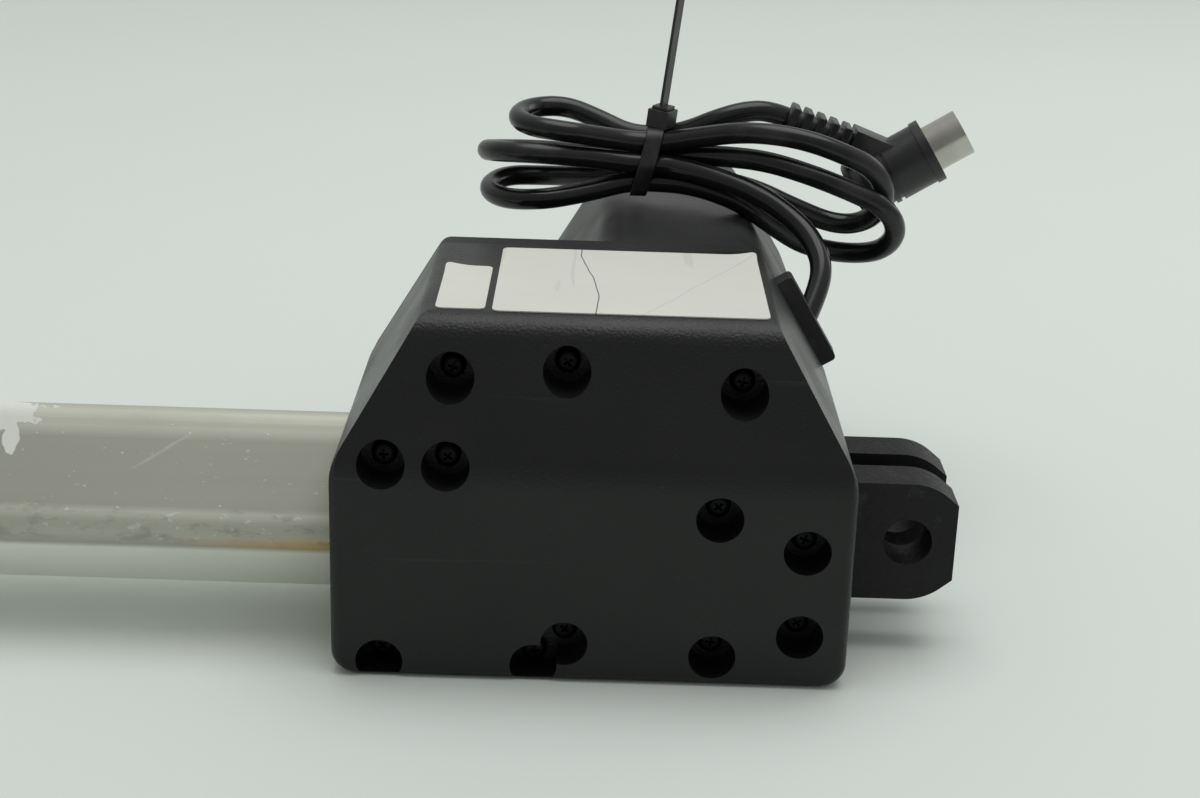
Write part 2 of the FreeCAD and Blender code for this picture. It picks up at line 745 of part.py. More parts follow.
# Spindle with its journal, collar, wheel seat and plain screw length
journal = d.bearing_bore / 2
clip_outer = 0.2 - d.bearing_place + 1.2
clip_inner = 0.2 - d.bearing_place
spindle_front = clip_outer + 0.9
collar_end = bearing_end - 4.5
seat_end = -d.wheel_place - d.seat_long
turned("spindle", "X_Axis",
       [(spindle_front, 0), (spindle_front, journal), (clip_outer, journal), (clip_outer, journal - 0.8),
        (clip_inner, journal - 0.8), (clip_inner, journal), (bearing_end, journal),
        (bearing_end, d.spindle_collar / 2), (collar_end, d.spindle_collar / 2), (collar_end, d.spindle_seat / 2),
        (seat_end, d.spindle_seat / 2), (seat_end, d.spindle_size / 2), (-d.spindle_end, d.spindle_size / 2),
        (-d.spindle_end, 0)])
turned("spindle_circlip", "X_Axis",
       ring_profile(clip_outer - 0.05, clip_inner + 0.05, journal - 0.75, journal + 2.4))
push_inner = d.push_size / 2 - d.push_wall
turned("spindle_end_ring", "X_Axis",
       ring_profile(-d.spindle_end, 4 - d.spindle_end, d.spindle_size / 2 + d.running_gap,
                    push_inner - d.seat_gap))

# Worm wheel on the spindle
wheel_pitch = d.gear_pitch * d.wheel_teeth / 2
wheel_tip = wheel_pitch + d.gear_pitch
wheel_root = wheel_pitch - d.gear_pitch * 1.2
wheel_near = d.wheel_wide / 2 - d.wheel_place
wheel_far = -d.wheel_wide / 2 - d.wheel_place
wheel_bore = d.spindle_seat / 2 + d.running_gap
wheel = turned("worm_wheel", "X_Axis",
               [(wheel_near, wheel_bore), (wheel_near, wheel_tip), (wheel_far, wheel_tip),
                (wheel_far, d.hub_size / 2), (wheel_near - d.hub_long, d.hub_size / 2),
                (wheel_near - d.hub_long, wheel_bore)])
gap_floor = d.gear_pitch * 0.45
gap_mouth = d.gear_pitch * 1.15
gap_sketch = outline(wheel, "tooth_gap", "YZ_Plane",
                     [(-gap_floor, wheel_root), (gap_floor, wheel_root), (gap_mouth, wheel_tip + 0.5),
                      (-gap_mouth, wheel_tip + 0.5)], wheel_far - 1)
gap_cut = pocket(wheel, "tooth_cut", gap_sketch, d.wheel_wide + 2, reverse=True)
ring_of_gaps = wheel.newObject("PartDesign::PolarPattern", "tooth_ring")
ring_of_gaps.Originals = [gap_cut]
ring_of_gaps.Axis = (origin_part(wheel, "X_Axis"), [""])
ring_of_gaps.Angle = 360.0
ring_of_gaps.setExpression("Occurrences", "sizes.wheel_teeth")
wheel.Tip = ring_of_gaps
doc.recompute()

# Guide tube, its inner plug, guide bush, end cap and wiper
root_two = Size(math.sqrt(2), "sqrt(2)")
tube = diamond("guide_tube_bar", d.tube_side, d.tube_round, -d.tube_start, d.tube_end - d.tube_start)
tube_hollow = diamond("guide_tube_hollow", tube_inside, tube_inner_round, 1 - d.tube_start,
                      d.tube_end - d.tube_start + 2)
finished(less("guide_tube_cut", tube, [tube_hollow]), "guide_tube")
inside_side = tube_inside - d.hole_play * 2
inside_round = tube_inner_round - d.hole_play
rim = diamond("plug_rim_bar", d.tube_side - 1, d.tube_round, d.plug_rim - d.tube_start, d.plug_rim)
spigot_bar = diamond("plug_spigot", inside_side, inside_round, 1 - d.tube_start, d.plug_depth + 1)
finished(less("tube_inner_plug_cut", fused("tube_inner_plug_whole", [rim, spigot_bar]),
              [round_hole("plug_bore", d.spindle_size / 2 + 2 * d.seat_gap, d.plug_rim + 1 - d.tube_start,
                          d.plug_depth + d.plug_rim + 2)]), "tube_inner_plug")
bush_bar = diamond("guide_bush_bar", inside_side, inside_round, d.bush_long - d.tube_end, d.bush_long)
finished(less("guide_bush_cut", bush_bar, [round_hole("guide_bush_bore", d.push_size / 2 + d.seat_gap,
                                                      d.bush_long + 1 - d.tube_end, d.bush_long + 2)]),
         "guide_bush")
cap_bar = diamond("end_cap_bar", d.tube_side + 2 * d.cap_lip, d.tube_round + d.cap_lip, -d.tube_end, d.cap_thick)
cap_cuts = [round_hole("wiper_seat", d.push_size / 2 + 2.5, 1 - d.tube_end, d.cap_thick - 0.2),
            round_hole("cap_bore", d.push_size / 2 + 0.8, 1 - d.tube_end, d.cap_thick + 2)]
finished(less("tube_end_cap_cut", cap_bar, cap_cuts), "tube_end_cap")
turned("rod_wiper", "X_Axis",
       ring_profile(-d.tube_end - 1.2, 1.4 - d.tube_end - d.cap_thick, d.push_size / 2 + d.seat_gap,
                    d.push_size / 2 + 2.4))

# Limit switches on their strip in the top corner of the tube
strip_start = -d.nut_start - 2
strip_end = d.bush_long + 2 - d.tube_end
finished(box("strip_board", strip_end, -d.strip_wide / 2, d.strip_low, strip_start - strip_end, d.strip_wide,
             d.strip_thick), "switch_strip")
switch_low = d.strip_low - d.switch_tall
finished(group("switch_pair",
               [box("switch_%s" % name, start, -d.switch_wide / 2, switch_low, d.switch_long, d.switch_wide,
                    d.switch_tall)
                for name, start in (("near", strip_start - d.switch_long), ("far", strip_end))]), "limit_switches")

# Nut, push tube and its front fork, which slide together
nut_half = tube_inside / 2 - d.seat_gap
nut_corner = d.nut_flat * root_two - nut_half
nut_body = new_body("nut_block")
nut_round = tube_inner_round - d.seat_gap
nut_section = outline(nut_body, "nut_section", "YZ_Plane",
                      [(-nut_half, -nut_half, nut_round), (nut_half, -nut_half, nut_round), (nut_half, nut_corner),
                       (nut_corner, nut_half), (-nut_half, nut_half, nut_round)])
pad(nut_body, "nut_bar", nut_section, d.nut_long, reverse=True)
place(nut_body, -d.nut_start, 0, 0, QUARTER)
socket_start = d.nut_socket - d.nut_start - d.nut_long
pin_x = socket_start - d.nut_socket / 2
pin_way = FreeCAD.Vector(0, -math.sqrt(0.5), math.sqrt(0.5))


def nut_pin(name, radius, side, start, length):
    """A pin square to one of the nut's slanted faces."""
    way = pin_way * side
    return cylinder(name, radius, length, pin_x, start * way.y, start * way.z, FreeCAD.Rotation(Z_WAY, way))


pin_start = push_inner + d.seat_gap
pins = [nut_pin("nut_pin_%d" % number, 1.5, side, pin_start, nut_half - 0.4 - pin_start)
        for number, side in enumerate((1, -1))]
pin_holes = [nut_pin("pin_hole_%d" % number, 1.55, side, pin_start - 2, nut_half + 4 - pin_start)
             for number, side in enumerate((1, -1))]
finished(group("pin_pair", pins), "nut_pins")
nut_cuts = [round_hole("nut_thread", d.spindle_size / 2 + d.hole_play, 1 - d.nut_start, d.nut_long),
            round_hole("nut_socket_bore", d.push_size / 2 + d.running_gap, socket_start, d.nut_socket + 1)]
finished(less("spindle_nut_cut", nut_body, nut_cuts + pin_holes), "spindle_nut")
push_body = turned("push_tube_bar", "X_Axis",
                   ring_profile(socket_start, -d.push_end, push_inner, d.push_size / 2), piece=False)
rivet_x = 3.5 - d.push_end
rivet_hole = cylinder("rivet_hole", 2.55, d.push_size + 2, rivet_x, 0, -d.push_size / 2 - 1, FreeCAD.Rotation())
finished(less("push_tube_cut", push_body, pin_holes + [rivet_hole]), "push_tube")
finished(cylinder("rivet_pin", 2.5, d.push_size - 0.4, rivet_x, 0, 0.2 - d.push_size / 2, FreeCAD.Rotation()),
         "clevis_rivet")
AHEAD = FreeCAD.Rotation(Z_WAY, 180)
rod_ears = fork("rod_ears", d.rod_fork_width, d.rod_fork_rise, d.rod_fork_neck)
place(rod_ears, -d.rod_pin, 0, 0, AHEAD)
collar = round_hole("rod_collar", d.push_size / 2, -d.push_end, d.rod_pin - d.push_end - d.rod_fork_neck + 1)
stem = round_hole("rod_stem", push_inner - d.running_gap, d.rod_stem - d.push_end, d.rod_stem + 1)
rod_cuts = []
for cutter in fork_cuts("rod", d.rod_fork_width, 1 - d.rod_fork_neck):
    cutter.Placement.Rotation = AHEAD.multiply(cutter.Placement.Rotation)
    rod_cuts.append(cutter)
bind(rod_cuts[0], "Placement.Base.x", d.rod_fork_neck - 1 - d.rod_pin)
bind(rod_cuts[0], "Placement.Base.y", d.fork_slot / 2)
bind(rod_cuts[1], "Placement.Base.x", -d.rod_pin)
bind(rod_cuts[1], "Placement.Base.y", d.rod_fork_width / 2 + 1)
finished(less("rod_clevis_cut", fused("rod_clevis_whole", [rod_ears, collar, stem]), rod_cuts + [rivet_hole]),
         "rod_clevis")

# Motor: flange, can, magnets, brushes and bushes stand still
mount_back = plate_back + d.mount_thick
mount_front = d.seam_depth + 2
flange_body = turned("mount_body", "Y_Axis",
                     [(mount_front, d.shaft_size / 2 + 1), (mount_back, d.shaft_size / 2 + 1),
                      (mount_back, mount_ring + d.mount_rim), (plate_back, mount_ring + d.mount_rim),
                      (plate_back, d.mount_boss / 2), (mount_front, d.mount_boss / 2)],
                     motor_x, 0, d.motor_rise, piece=False)
flange_room = new_body("flange_room")
pad(flange_room, "flange_limit",
    cover_view(flange_room, "flange_view", cover_inside + 2 * d.seat_gap, d.cover_edge - d.cover_wall, mount_back + 1),
    d.mount_thick + d.plate_thick + 2)
flange_holes = [cylinder("flange_hole_%d" % number, screw_hole, d.mount_thick + 2, x, plate_back - 1, z)
                for number, (x, z) in enumerate(mount_places)]
finished(less("motor_flange_cut", common("flange_fitted", flange_body, flange_room), flange_holes), "motor_flange")
mount_bolts = []
for number, (x, z) in enumerate(mount_places):
    head = cylinder("mount_head_%d" % number, d.screw_head * 0.4, d.screw_head_tall, x, mount_back, z)
    stud = cylinder("mount_stud_%d" % number, d.screw_size / 2, d.mount_thick + d.plate_thick - 2, x,
                    d.seam_depth + 3, z)
    mount_bolts.append(fused("mount_bolt_%d" % number, [head, stud]))
finished(group("mount_bolts", mount_bolts), "motor_screws")
can_inner = can_outer - d.can_wall
can_end = mount_back + d.can_long
bush_radius = d.bush_size / 2
pocket_radius = bush_radius + d.running_gap
can_floor = can_end - d.can_wall
turned("motor_can", "Y_Axis",
       [(mount_back, can_inner), (mount_back, can_outer), (can_end, can_outer, 2), (can_end, bush_radius + 2),
        (can_end + 6.5, bush_radius + 2), (can_end + 6.5, 0), (can_end + 5, 0),
        (can_end + 5, pocket_radius), (can_floor, pocket_radius), (can_floor, can_inner)],
       motor_x, 0, d.motor_rise)
shaft_radius = d.shaft_size / 2
bush_bore = shaft_radius + 0.15
turned("motor_rear_bush", "Y_Axis", ring_profile(can_floor, can_end + 4.7, bush_bore, bush_radius),
       motor_x, 0, d.motor_rise)
turned("worm_bush", "Y_Axis", ring_profile(bush_start, bush_end, bush_bore, bush_radius),
       motor_x, 0, d.motor_rise)
rotor_start = mount_back + d.rotor_set
rotor_end = rotor_start + d.rotor_long
magnet_outer = can_inner - d.hole_play
rotor_radius = magnet_outer - d.magnet_thick - d.air_gap
magnet_parts = []
for number in range(2):
    outside = cylinder("magnet_outside_%d" % number, magnet_outer, d.rotor_long + 4, motor_x, rotor_start - 2,
                       d.motor_rise)
    bind(outside, "Angle", d.magnet_sweep)
    start_turn = FreeCAD.Rotation(Y_WAY, 180 * number - SIZES["magnet_sweep"] / 2)
    outside.Placement.Rotation = start_turn.multiply(ALONG_Y)
    core = cylinder("magnet_core_%d" % number, magnet_outer - d.magnet_thick, d.rotor_long + 6, motor_x,
                    rotor_start - 3, d.motor_rise)
    magnet_parts.append(less("magnet_%d" % number, outside, [core]))
finished(group("magnet_pair", magnet_parts), "motor_magnets")
holder_end = mount_back + d.brush_deep
turned("brush_holder", "Y_Axis",
       ring_profile(mount_back, holder_end, d.commutator_size / 2 + 2, can_inner - d.seat_gap),
       motor_x, 0, d.motor_rise)
brush_gap = d.commutator_size / 2 + d.hole_play
finished(group("brush_pair",
               [box("brush_%s" % name, start, holder_end, d.motor_rise - d.brush_wide / 2, d.brush_long,
                    d.brush_deep, d.brush_wide)
                for name, start in (("right", motor_x + brush_gap), ("left", motor_x - brush_gap - d.brush_long))]),
         "carbon_brushes")

# Armature: shaft with its worm, core, windings and commutator
shaft_back = can_end + d.shaft_tail
commutator_start = mount_back + d.commutator_set
turned("armature_shaft", "Y_Axis",
       [(-d.shaft_front, 0), (-d.shaft_front, shaft_radius), (-d.worm_long / 2, shaft_radius),
        (-d.worm_long / 2, d.worm_root / 2), (d.worm_long / 2, d.worm_root / 2), (d.worm_long / 2, shaft_radius),
        (shaft_back, shaft_radius), (shaft_back, 0)],
       motor_x, 0, d.motor_rise)
core_bore = shaft_radius + d.running_gap
turned("rotor_core", "Y_Axis", ring_profile(rotor_start, rotor_end, core_bore, rotor_radius),
       motor_x, 0, d.motor_rise)
coils = [turned("coil_%s" % name, "Y_Axis",
                ring_profile(start, start + d.winding_long, shaft_radius + 1, rotor_radius - d.winding_step),
                motor_x, 0, d.motor_rise, piece=False)
         for name, start in (("front", rotor_start - d.winding_long), ("back", rotor_end))]
finished(group("coil_pair", coils), "rotor_windings")
turned("commutator", "Y_Axis",
       ring_profile(commutator_start, commutator_start + d.commutator_long, core_bore,
                    d.commutator_size / 2),
       motor_x, 0, d.motor_rise)

# Cable inlet block on the slanted right side of the rear housing
slant = Size(math.hypot(side_run.value, side_rise.value),
             "sqrt(%s ^ 2 + %s ^ 2)" % (side_run.formula, side_rise.formula))


def on_slant(along, proud):
    """A point of the end view, measured up the slanted side and out from it."""
    return (housing_right - along * side_run / slant + proud * side_rise / slant,
            shoulder + along * side_rise / slant + proud * side_run / slant)


inlet = new_body("inlet_block")
inlet_end = d.inlet_start + d.inlet_long
inlet_corners = [(*on_slant(d.inlet_start, -d.plate_inset),), (*on_slant(d.inlet_start, d.inlet_proud), 1.2),
                 (*on_slant(inlet_end, d.inlet_proud), 1.2), (*on_slant(inlet_end, -d.plate_inset),)]
inlet_back = (d.seam_depth + plate_back + d.inlet_deep) / 2
pad(inlet, "inlet_pad", outline(inlet, "inlet_view", "XZ_Plane", inlet_corners, -inlet_back), d.inlet_deep)
finished(inlet, "cable_inlet")

# Bare label plates on the roof
LABEL_TURN = math.radians(-1.7)
label_middle_y = d.label_deep / 2 - d.label_front
label_cos, label_sin = math.cos(LABEL_TURN), math.sin(LABEL_TURN)
tag_left = housing_middle - d.top_width / 2 + d.tag_edge
label_left = tag_left + d.tag_wide + d.label_gap
label_wide = d.top_width - d.tag_edge - d.tag_wide - d.label_gap - d.label_edge
half_wide, half_deep = label_wide / 2, d.label_deep / 2
finished(box("label_plate", label_left + half_wide - half_wide * label_cos + half_deep * label_sin,
             label_middle_y - half_wide * label_sin - half_deep * label_cos, roof,
             label_wide, d.label_deep, d.label_thick, FreeCAD.Rotation(Z_WAY, -1.7)), "rating_label")
finished(box("tag_plate", tag_left, -d.label_front, roof, d.tag_wide, d.tag_deep, d.label_thick), "serial_label")


# Cable: swept leads, one solid for the tied hank, and the plug on its end
def route_edges(name, route):
    """Straight runs joined by tangent arcs through the corners of a route."""
    spots = [FreeCAD.Vector(*spot) for spot in route]
    edges = []
    radii = []
    last = spots[0]
    for before, here, after in zip(spots, spots[1:], spots[2:]):
        back = (before - here).normalize()
        ahead = (after - here).normalize()
        half = back.getAngle(ahead) / 2
        cut = 0.45 * min(before.distanceToPoint(here), here.distanceToPoint(after))
        radius = cut * math.tan(half)
        centre = here + (back + ahead).normalize() * (radius / math.sin(half))
        middle = centre + (here - centre).normalize() * radius
        edges.append(Part.LineSegment(last, here + back * cut).toShape())
        edges.append(Part.Arc(here + back * cut, middle, here + ahead * cut).toShape())
        last = here + ahead * cut
        radii.append(round(radius, 1))
    edges.append(Part.LineSegment(last, spots[-1]).toShape())
    print(name, "bend radii", radii)
    return edges


def cord(label, route):
    path = doc.addObject("Part::Feature", label + "_path")
    path.Shape = Part.Wire(route_edges(label, route))
    section = doc.addObject("Part::Circle", label + "_section")
    bind(section, "Radius", d.cable_size / 2)
    first = FreeCAD.Vector(*route[1]) - FreeCAD.Vector(*route[0])
    section.Placement = FreeCAD.Placement(FreeCAD.Vector(*route[0]), FreeCAD.Rotation(Z_WAY, first))
    sweep = doc.addObject("Part::Sweep", label + "_sweep")
    sweep.Sections = [section]
    sweep.Spine = (path, ["Edge%d" % number for number in range(1, len(path.Shape.Edges) + 1)])
    sweep.Solid = True
    doc.recompute()
    expected = math.pi * (SIZES["cable_size"] / 2) ** 2 * path.Shape.Length
    print(label, "volume", round(sweep.Shape.Volume, 1), "expected", round(expected, 1))
    return finished(sweep, label)


UPRIGHT_ELLIPSE = FreeCAD.Rotation(Y_WAY, -90)


def oval(name, x, y, z, half_high, half_deep):
    """An ellipse across X, taller than it is deep."""
    ring = doc.addObject("Part::Ellipse", name)
    bind(ring, "MajorRadius", half_high)
    bind(ring, "MinorRadius", half_deep)
    ring.Placement = FreeCAD.Placement(FreeCAD.Vector(x, y, z), UPRIGHT_ELLIPSE)
    return ring


def loft(name, sections, ruled=False):
    thing = doc.addObject("Part::Loft", name)
    thing.Sections = sections
    thing.Solid = True
    thing.Ruled = ruled
    return thing


cover_top = roof - d.plate_inset
lift = cover_top.value - CABLE_LEVEL


def lifted(point, share=1.0):
    """A point of the cable, raised as the motor cover's top is."""
    x, y, z = point
    return (x, y, z + lift * share)


lead_route = [lifted(point, number / (len(LEAD_ROUTE) - 1)) for number, point in enumerate(LEAD_ROUTE)]
tail_route = [lifted(point) for point in TAIL_ROUTE]
plug_collar = lifted(PLUG_COLLAR)
cord("cable_lead", lead_route)
cord("cable_tail", tail_route)
finished(loft("hank_form", [oval("hank_oval_%d" % number, x, y, z + lift, half_high, half_deep)
                            for number, (x, y, z, half_high, half_deep) in enumerate(HANK_FORM)]), "cable_hank")

tie_x, tie_y, tie_z, tie_high, tie_deep = TIE_OVAL
tie_z += lift


def tie_band(name, half_wide, growth):
    sections = [oval("%s_%d" % (name, side), tie_x + side * half_wide, tie_y, tie_z, tie_high + growth,
                     tie_deep + growth)
                for side in (-1, 1)]
    return loft(name, sections, ruled=True)


band_outer = tie_band("tie_outer", SIZES["tie_wide"] / 2, d.tie_thick + 0.2)
band_inner = tie_band("tie_inner", SIZES["tie_wide"], Size.of(0.2))
band = less("tie_band", band_outer, [band_inner])
head_low = tie_z + tie_high + 0.3
tie_head = box("tie_head", tie_x - 3.8, tie_y - 3.2, head_low, 7.6, 6.4, 6.2)
TAIL_LEAN = FreeCAD.Rotation(Y_WAY, 9.0)
tie_tail = box("tie_tail", tie_x - d.tie_wide / 2, tie_y - 0.6, head_low + 4, d.tie_wide, 1.1,
               TIE_TAIL_TOP + lift - head_low - 4, TAIL_LEAN)
finished(fused("tie_whole", [band, tie_head, tie_tail]), "cable_tie")

BOOT_TURN = FreeCAD.Rotation(Y_WAY, BOOT_ANGLE)
PLUG_TURN = FreeCAD.Rotation(Y_WAY, -PLUG_ANGLE)
boot_outline = [(0, 0)]
rib_pitch = d.boot_long / d.boot_ribs
for number in range(int(SIZES["boot_ribs"])):
    rib_start = rib_pitch * number
    boot_outline += [(rib_start, d.boot_size / 2), (rib_start + rib_pitch * 0.68, d.boot_size / 2),
                     (rib_start + rib_pitch * 0.68, d.boot_size / 2 - d.boot_groove),
                     (rib_start + rib_pitch, d.boot_size / 2 - d.boot_groove)]
boot_outline.append((d.boot_long, 0))
turned("plug_boot", "X_Axis", boot_outline, *tail_route[-1], BOOT_TURN)
plug_radius = d.plug_size / 2
plug_outline = [(-d.plug_long, 0), (-d.plug_long, plug_radius, 2.5)]
for number in range(4):
    groove_start = d.groove_start + d.groove_pitch * number - d.plug_long
    plug_outline += [(groove_start, plug_radius), (groove_start, plug_radius - d.plug_groove),
                     (groove_start + 1, plug_radius - d.plug_groove), (groove_start + 1, plug_radius)]
plug_outline += [(-2.6, plug_radius), (-2.6, plug_radius + 0.5), (0, plug_radius + 0.5), (0, 0)]
plug_core = turned("plug_core", "X_Axis", plug_outline, *plug_collar, PLUG_TURN, piece=False)
boot_way = BOOT_TURN.multVec(X_WAY)
boot_end = FreeCAD.Vector(*tail_route[-1]) + boot_way * SIZES["boot_long"]
elbow_half = SIZES["elbow_size"] / 2
elbow_corner = boot_end + BOOT_TURN.multVec(FreeCAD.Vector(0, -elbow_half, -elbow_half))
plug_elbow = box("plug_elbow", *elbow_corner, d.elbow_long, d.elbow_size, d.elbow_size, BOOT_TURN)
finished(fused("plug_whole", [plug_core, plug_elbow]), "plug_body")
shell_radius = d.shell_size / 2
turned("plug_shell", "X_Axis",
       [(0, 0), (0, shell_radius), (d.shell_long, shell_radius), (d.shell_long, shell_radius - 0.8),
        (1.2, shell_radius - 0.8), (1.2, 0)], *plug_collar, PLUG_TURN)
contacts = []
for number in range(5):
    turn = math.radians(45 * number)
    spot = FreeCAD.Vector(1.2, 4.0 * math.cos(turn), 4.0 * math.sin(turn))
    spot = FreeCAD.Vector(*plug_collar) + PLUG_TURN.multVec(spot)
    contacts.append(cylinder("contact_%d" % number, 0.7, d.shell_long - 3.5, *spot, PLUG_TURN.multiply(ALONG_X)))
finished(group("contact_set", contacts), "plug_pins")

doc.recompute()
for thing in doc.Objects:
    if "Invalid" in thing.State or "Error" in thing.State:
        raise RuntimeError("%s did not build: %s" % (thing.Label, thing.State))
os.makedirs("parts", exist_ok=True)
for thing in pieces:
    shape = thing.Shape
    if shape.isNull() or not shape.isValid() or not shape.Solids:
        raise RuntimeError("%s has no valid solid" % thing.Label)
    bounds = shape.BoundBox
    print("%-20s solids %d volume %9.1f x %.1f..%.1f y %.1f..%.1f z %.1f..%.1f" % (
        thing.Label, len(shape.Solids), shape.Volume, bounds.XMin, bounds.XMax, bounds.YMin, bounds.YMax,
        bounds.ZMin, bounds.ZMax))
    shape.exportStep("parts/%s.step" % thing.Label)
print(len(pieces), "pieces")
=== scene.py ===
import math

import bmesh
import bpy
from bpy.props import FloatProperty, FloatVectorProperty, IntProperty, PointerProperty
from mathutils import Matrix, Vector


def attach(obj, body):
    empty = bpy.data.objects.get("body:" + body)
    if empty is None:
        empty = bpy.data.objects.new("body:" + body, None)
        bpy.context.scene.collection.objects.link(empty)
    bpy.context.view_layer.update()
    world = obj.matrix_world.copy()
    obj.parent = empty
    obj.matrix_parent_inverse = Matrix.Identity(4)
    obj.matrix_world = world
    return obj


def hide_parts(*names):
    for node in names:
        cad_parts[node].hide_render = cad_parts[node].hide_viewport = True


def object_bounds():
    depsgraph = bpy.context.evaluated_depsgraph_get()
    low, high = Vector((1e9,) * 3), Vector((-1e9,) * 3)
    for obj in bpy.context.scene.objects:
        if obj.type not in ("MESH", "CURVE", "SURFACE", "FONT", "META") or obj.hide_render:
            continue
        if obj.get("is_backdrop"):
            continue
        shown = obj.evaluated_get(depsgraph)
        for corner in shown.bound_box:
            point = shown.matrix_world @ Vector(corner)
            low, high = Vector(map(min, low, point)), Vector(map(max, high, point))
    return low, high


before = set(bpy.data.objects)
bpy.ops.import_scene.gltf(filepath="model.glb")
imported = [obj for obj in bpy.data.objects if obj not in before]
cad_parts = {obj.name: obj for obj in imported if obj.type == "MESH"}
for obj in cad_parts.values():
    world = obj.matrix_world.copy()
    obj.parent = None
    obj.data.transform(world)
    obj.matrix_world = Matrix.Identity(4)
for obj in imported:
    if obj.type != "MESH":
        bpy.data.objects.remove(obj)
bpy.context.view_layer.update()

bl_info = {
    "name": "Bed actuator dressing",
    "version": (1, 0, 0),
    "blender": (4, 5, 0),
    "location": "View3D > Sidebar > Actuator",
    "description": "Dresses the packed bed actuator with its cable, tie, plug, screws, labels and finishes",
    "category": "Object",
}

BODY = "actuator"
MM = 0.001

# Camera, fitted to the straight edges of the housing
CAMERA_PLACE = (-0.08034, -0.47492, 0.20376)
CAMERA_RIGHT = (0.99949, 0.00670, 0.03113)
CAMERA_UP = (-0.03154, 0.34395, 0.93845)
CAMERA_BACK = (-0.00442, -0.93896, 0.34399)
CAMERA_LENS = 60.08
CAMERA_SENSOR = 36.0

# The two soft boxes: where each stands, the point that it faces, and its diameter
KEY_PLACE = (0.08, 0.18, 1.68)
KEY_TARGET = (-0.06, 0.04, 0.02)
KEY_SIZE = 1.6
BACK_PLACE = (0.90, 0.85, 0.50)
BACK_TARGET = (-0.03, 0.05, 0.02)
BACK_SIZE = 0.7

# The room's light: the way to its brightest part, the range over which it grows, and its tint
SKY_WAY = (0.15, 0.62, 0.77)
SKY_RANGE = (-0.35, 0.85)
SKY_TINT = (0.95, 0.98, 0.955, 1.0)

# The floor: its middle, its drop below the object, and the shade of its faint clouds
FLOOR_MIDDLE = (-0.08, 0.4)
FLOOR_DROP = 0.0003
FLOOR_CLOUD = (0.70, 0.735, 0.70)

# The cable's one line in millimetres: from the inlet, six times through the tie, to the plug's boot
LEAD = [(-23.5, 44.4, 36.6), (-19.4, 50.6, 43.6), (-17.6, 57.0, 50.6), (-21.0, 64.5, 56.6),
        (-27.5, 70.0, 61.4), (-36.0, 73.6, 66.0), (-44.5, 79.4, 67.8), (-52.5, 85.0, 68.8)]
LEFT_MIDDLE = [(-83.5, 87.2, 71.4), (-97.0, 79.7, 73.9), (-108.9, 84.3, 73.0), (-113.9, 96.0, 70.6),
               (-108.9, 107.7, 68.2), (-97.0, 112.3, 67.3), (-83.5, 104.2, 68.3)]
RIGHT_LOW = [(-52.5, 92.5, 71.8), (-43.5, 85.4, 73.3), (-33.5, 78.6, 74.0), (-22.0, 75.4, 71.6),
             (-11.0, 74.0, 68.0), (1.1, 74.0, 62.9), (5.8, 78.8, 54.5), (2.6, 85.6, 46.8),
             (-6.8, 91.0, 44.1), (-19.0, 91.0, 46.1), (-28.5, 88.2, 52.2), (-38.5, 85.4, 59.8),
             (-48.0, 87.6, 62.8), (-54.8, 90.4, 63.6)]
LEFT_LOW = [(-83.5, 88.0, 61.0), (-96.3, 80.7, 60.1), (-108.1, 85.3, 58.9), (-113.1, 97.0, 59.3),
            (-108.1, 108.7, 60.2), (-96.3, 113.3, 59.3), (-83.5, 105.6, 61.3)]
RIGHT_TOP = [(-53.0, 96.8, 64.7), (-44.0, 93.2, 64.3), (-34.0, 89.8, 62.6), (-24.5, 89.2, 58.4),
             (-10.5, 90.0, 52.8), (-1.4, 85.8, 55.8), (2.0, 80.3, 64.5), (-2.4, 75.6, 73.3),
             (-12.0, 75.2, 77.6), (-21.5, 75.2, 80.8), (-31.5, 76.6, 82.2), (-41.5, 80.8, 81.4),
             (-51.5, 87.4, 78.3)]
LEFT_TOP = [(-80.0, 89.4, 77.0), (-90.4, 83.1, 79.6), (-100.6, 87.0, 80.0), (-104.8, 97.0, 80.6),
            (-100.6, 107.0, 81.3), (-90.4, 110.9, 81.2), (-80.0, 104.2, 78.6)]
TAIL = [(-54.0, 98.2, 77.8), (-46.5, 97.6, 81.4), (-38.5, 97.9, 83.9), (-31.5, 99.4, 84.0),
        (-26.2, 101.0, 81.9)]

# The tie in millimetres: where the six strands lie inside it, as (y, z), its place along x, and how far
# to each side it holds the strands straight. Its strap leans by a share of the height
FRONT_TOP = (93.0, 75.1)
FRONT_MIDDLE = (91.3, 69.2)
FRONT_LOW = (93.2, 63.4)
BACK_TOP = (99.1, 75.7)
BACK_MIDDLE = (97.5, 69.7)
BACK_LOW = (99.3, 63.9)
TIE_PLACE = -66.5
TIE_HOLD = 5.0
TIE_LEAN = 0.23

# Room between the strands and the strap, and the rounds on the tie's edges, in metres
TIE_CLEARANCE = 0.0001
TIE_ROUND = 0.0003

# The tie's locking head in metres: its shift from the strap, its y, its sink into the strap, its half
# sizes and height, and those of the lip on it
LOCK_SHIFT = 0.0037
LOCK_Y = 0.0958
LOCK_SINK = 0.0009
LOCK_HALF = (0.0038, 0.0032)
LOCK_TALL = 0.0052
LIP_HALF = (0.0030, 0.0024)
LIP_TOP = 0.0062

# The tie's upright tail: its lean and turn in degrees, its start and half thickness in metres
UPRIGHT_LEAN = 6.5
UPRIGHT_TURN = 66.0
UPRIGHT_START = 0.0055
UPRIGHT_HALF = 0.00045

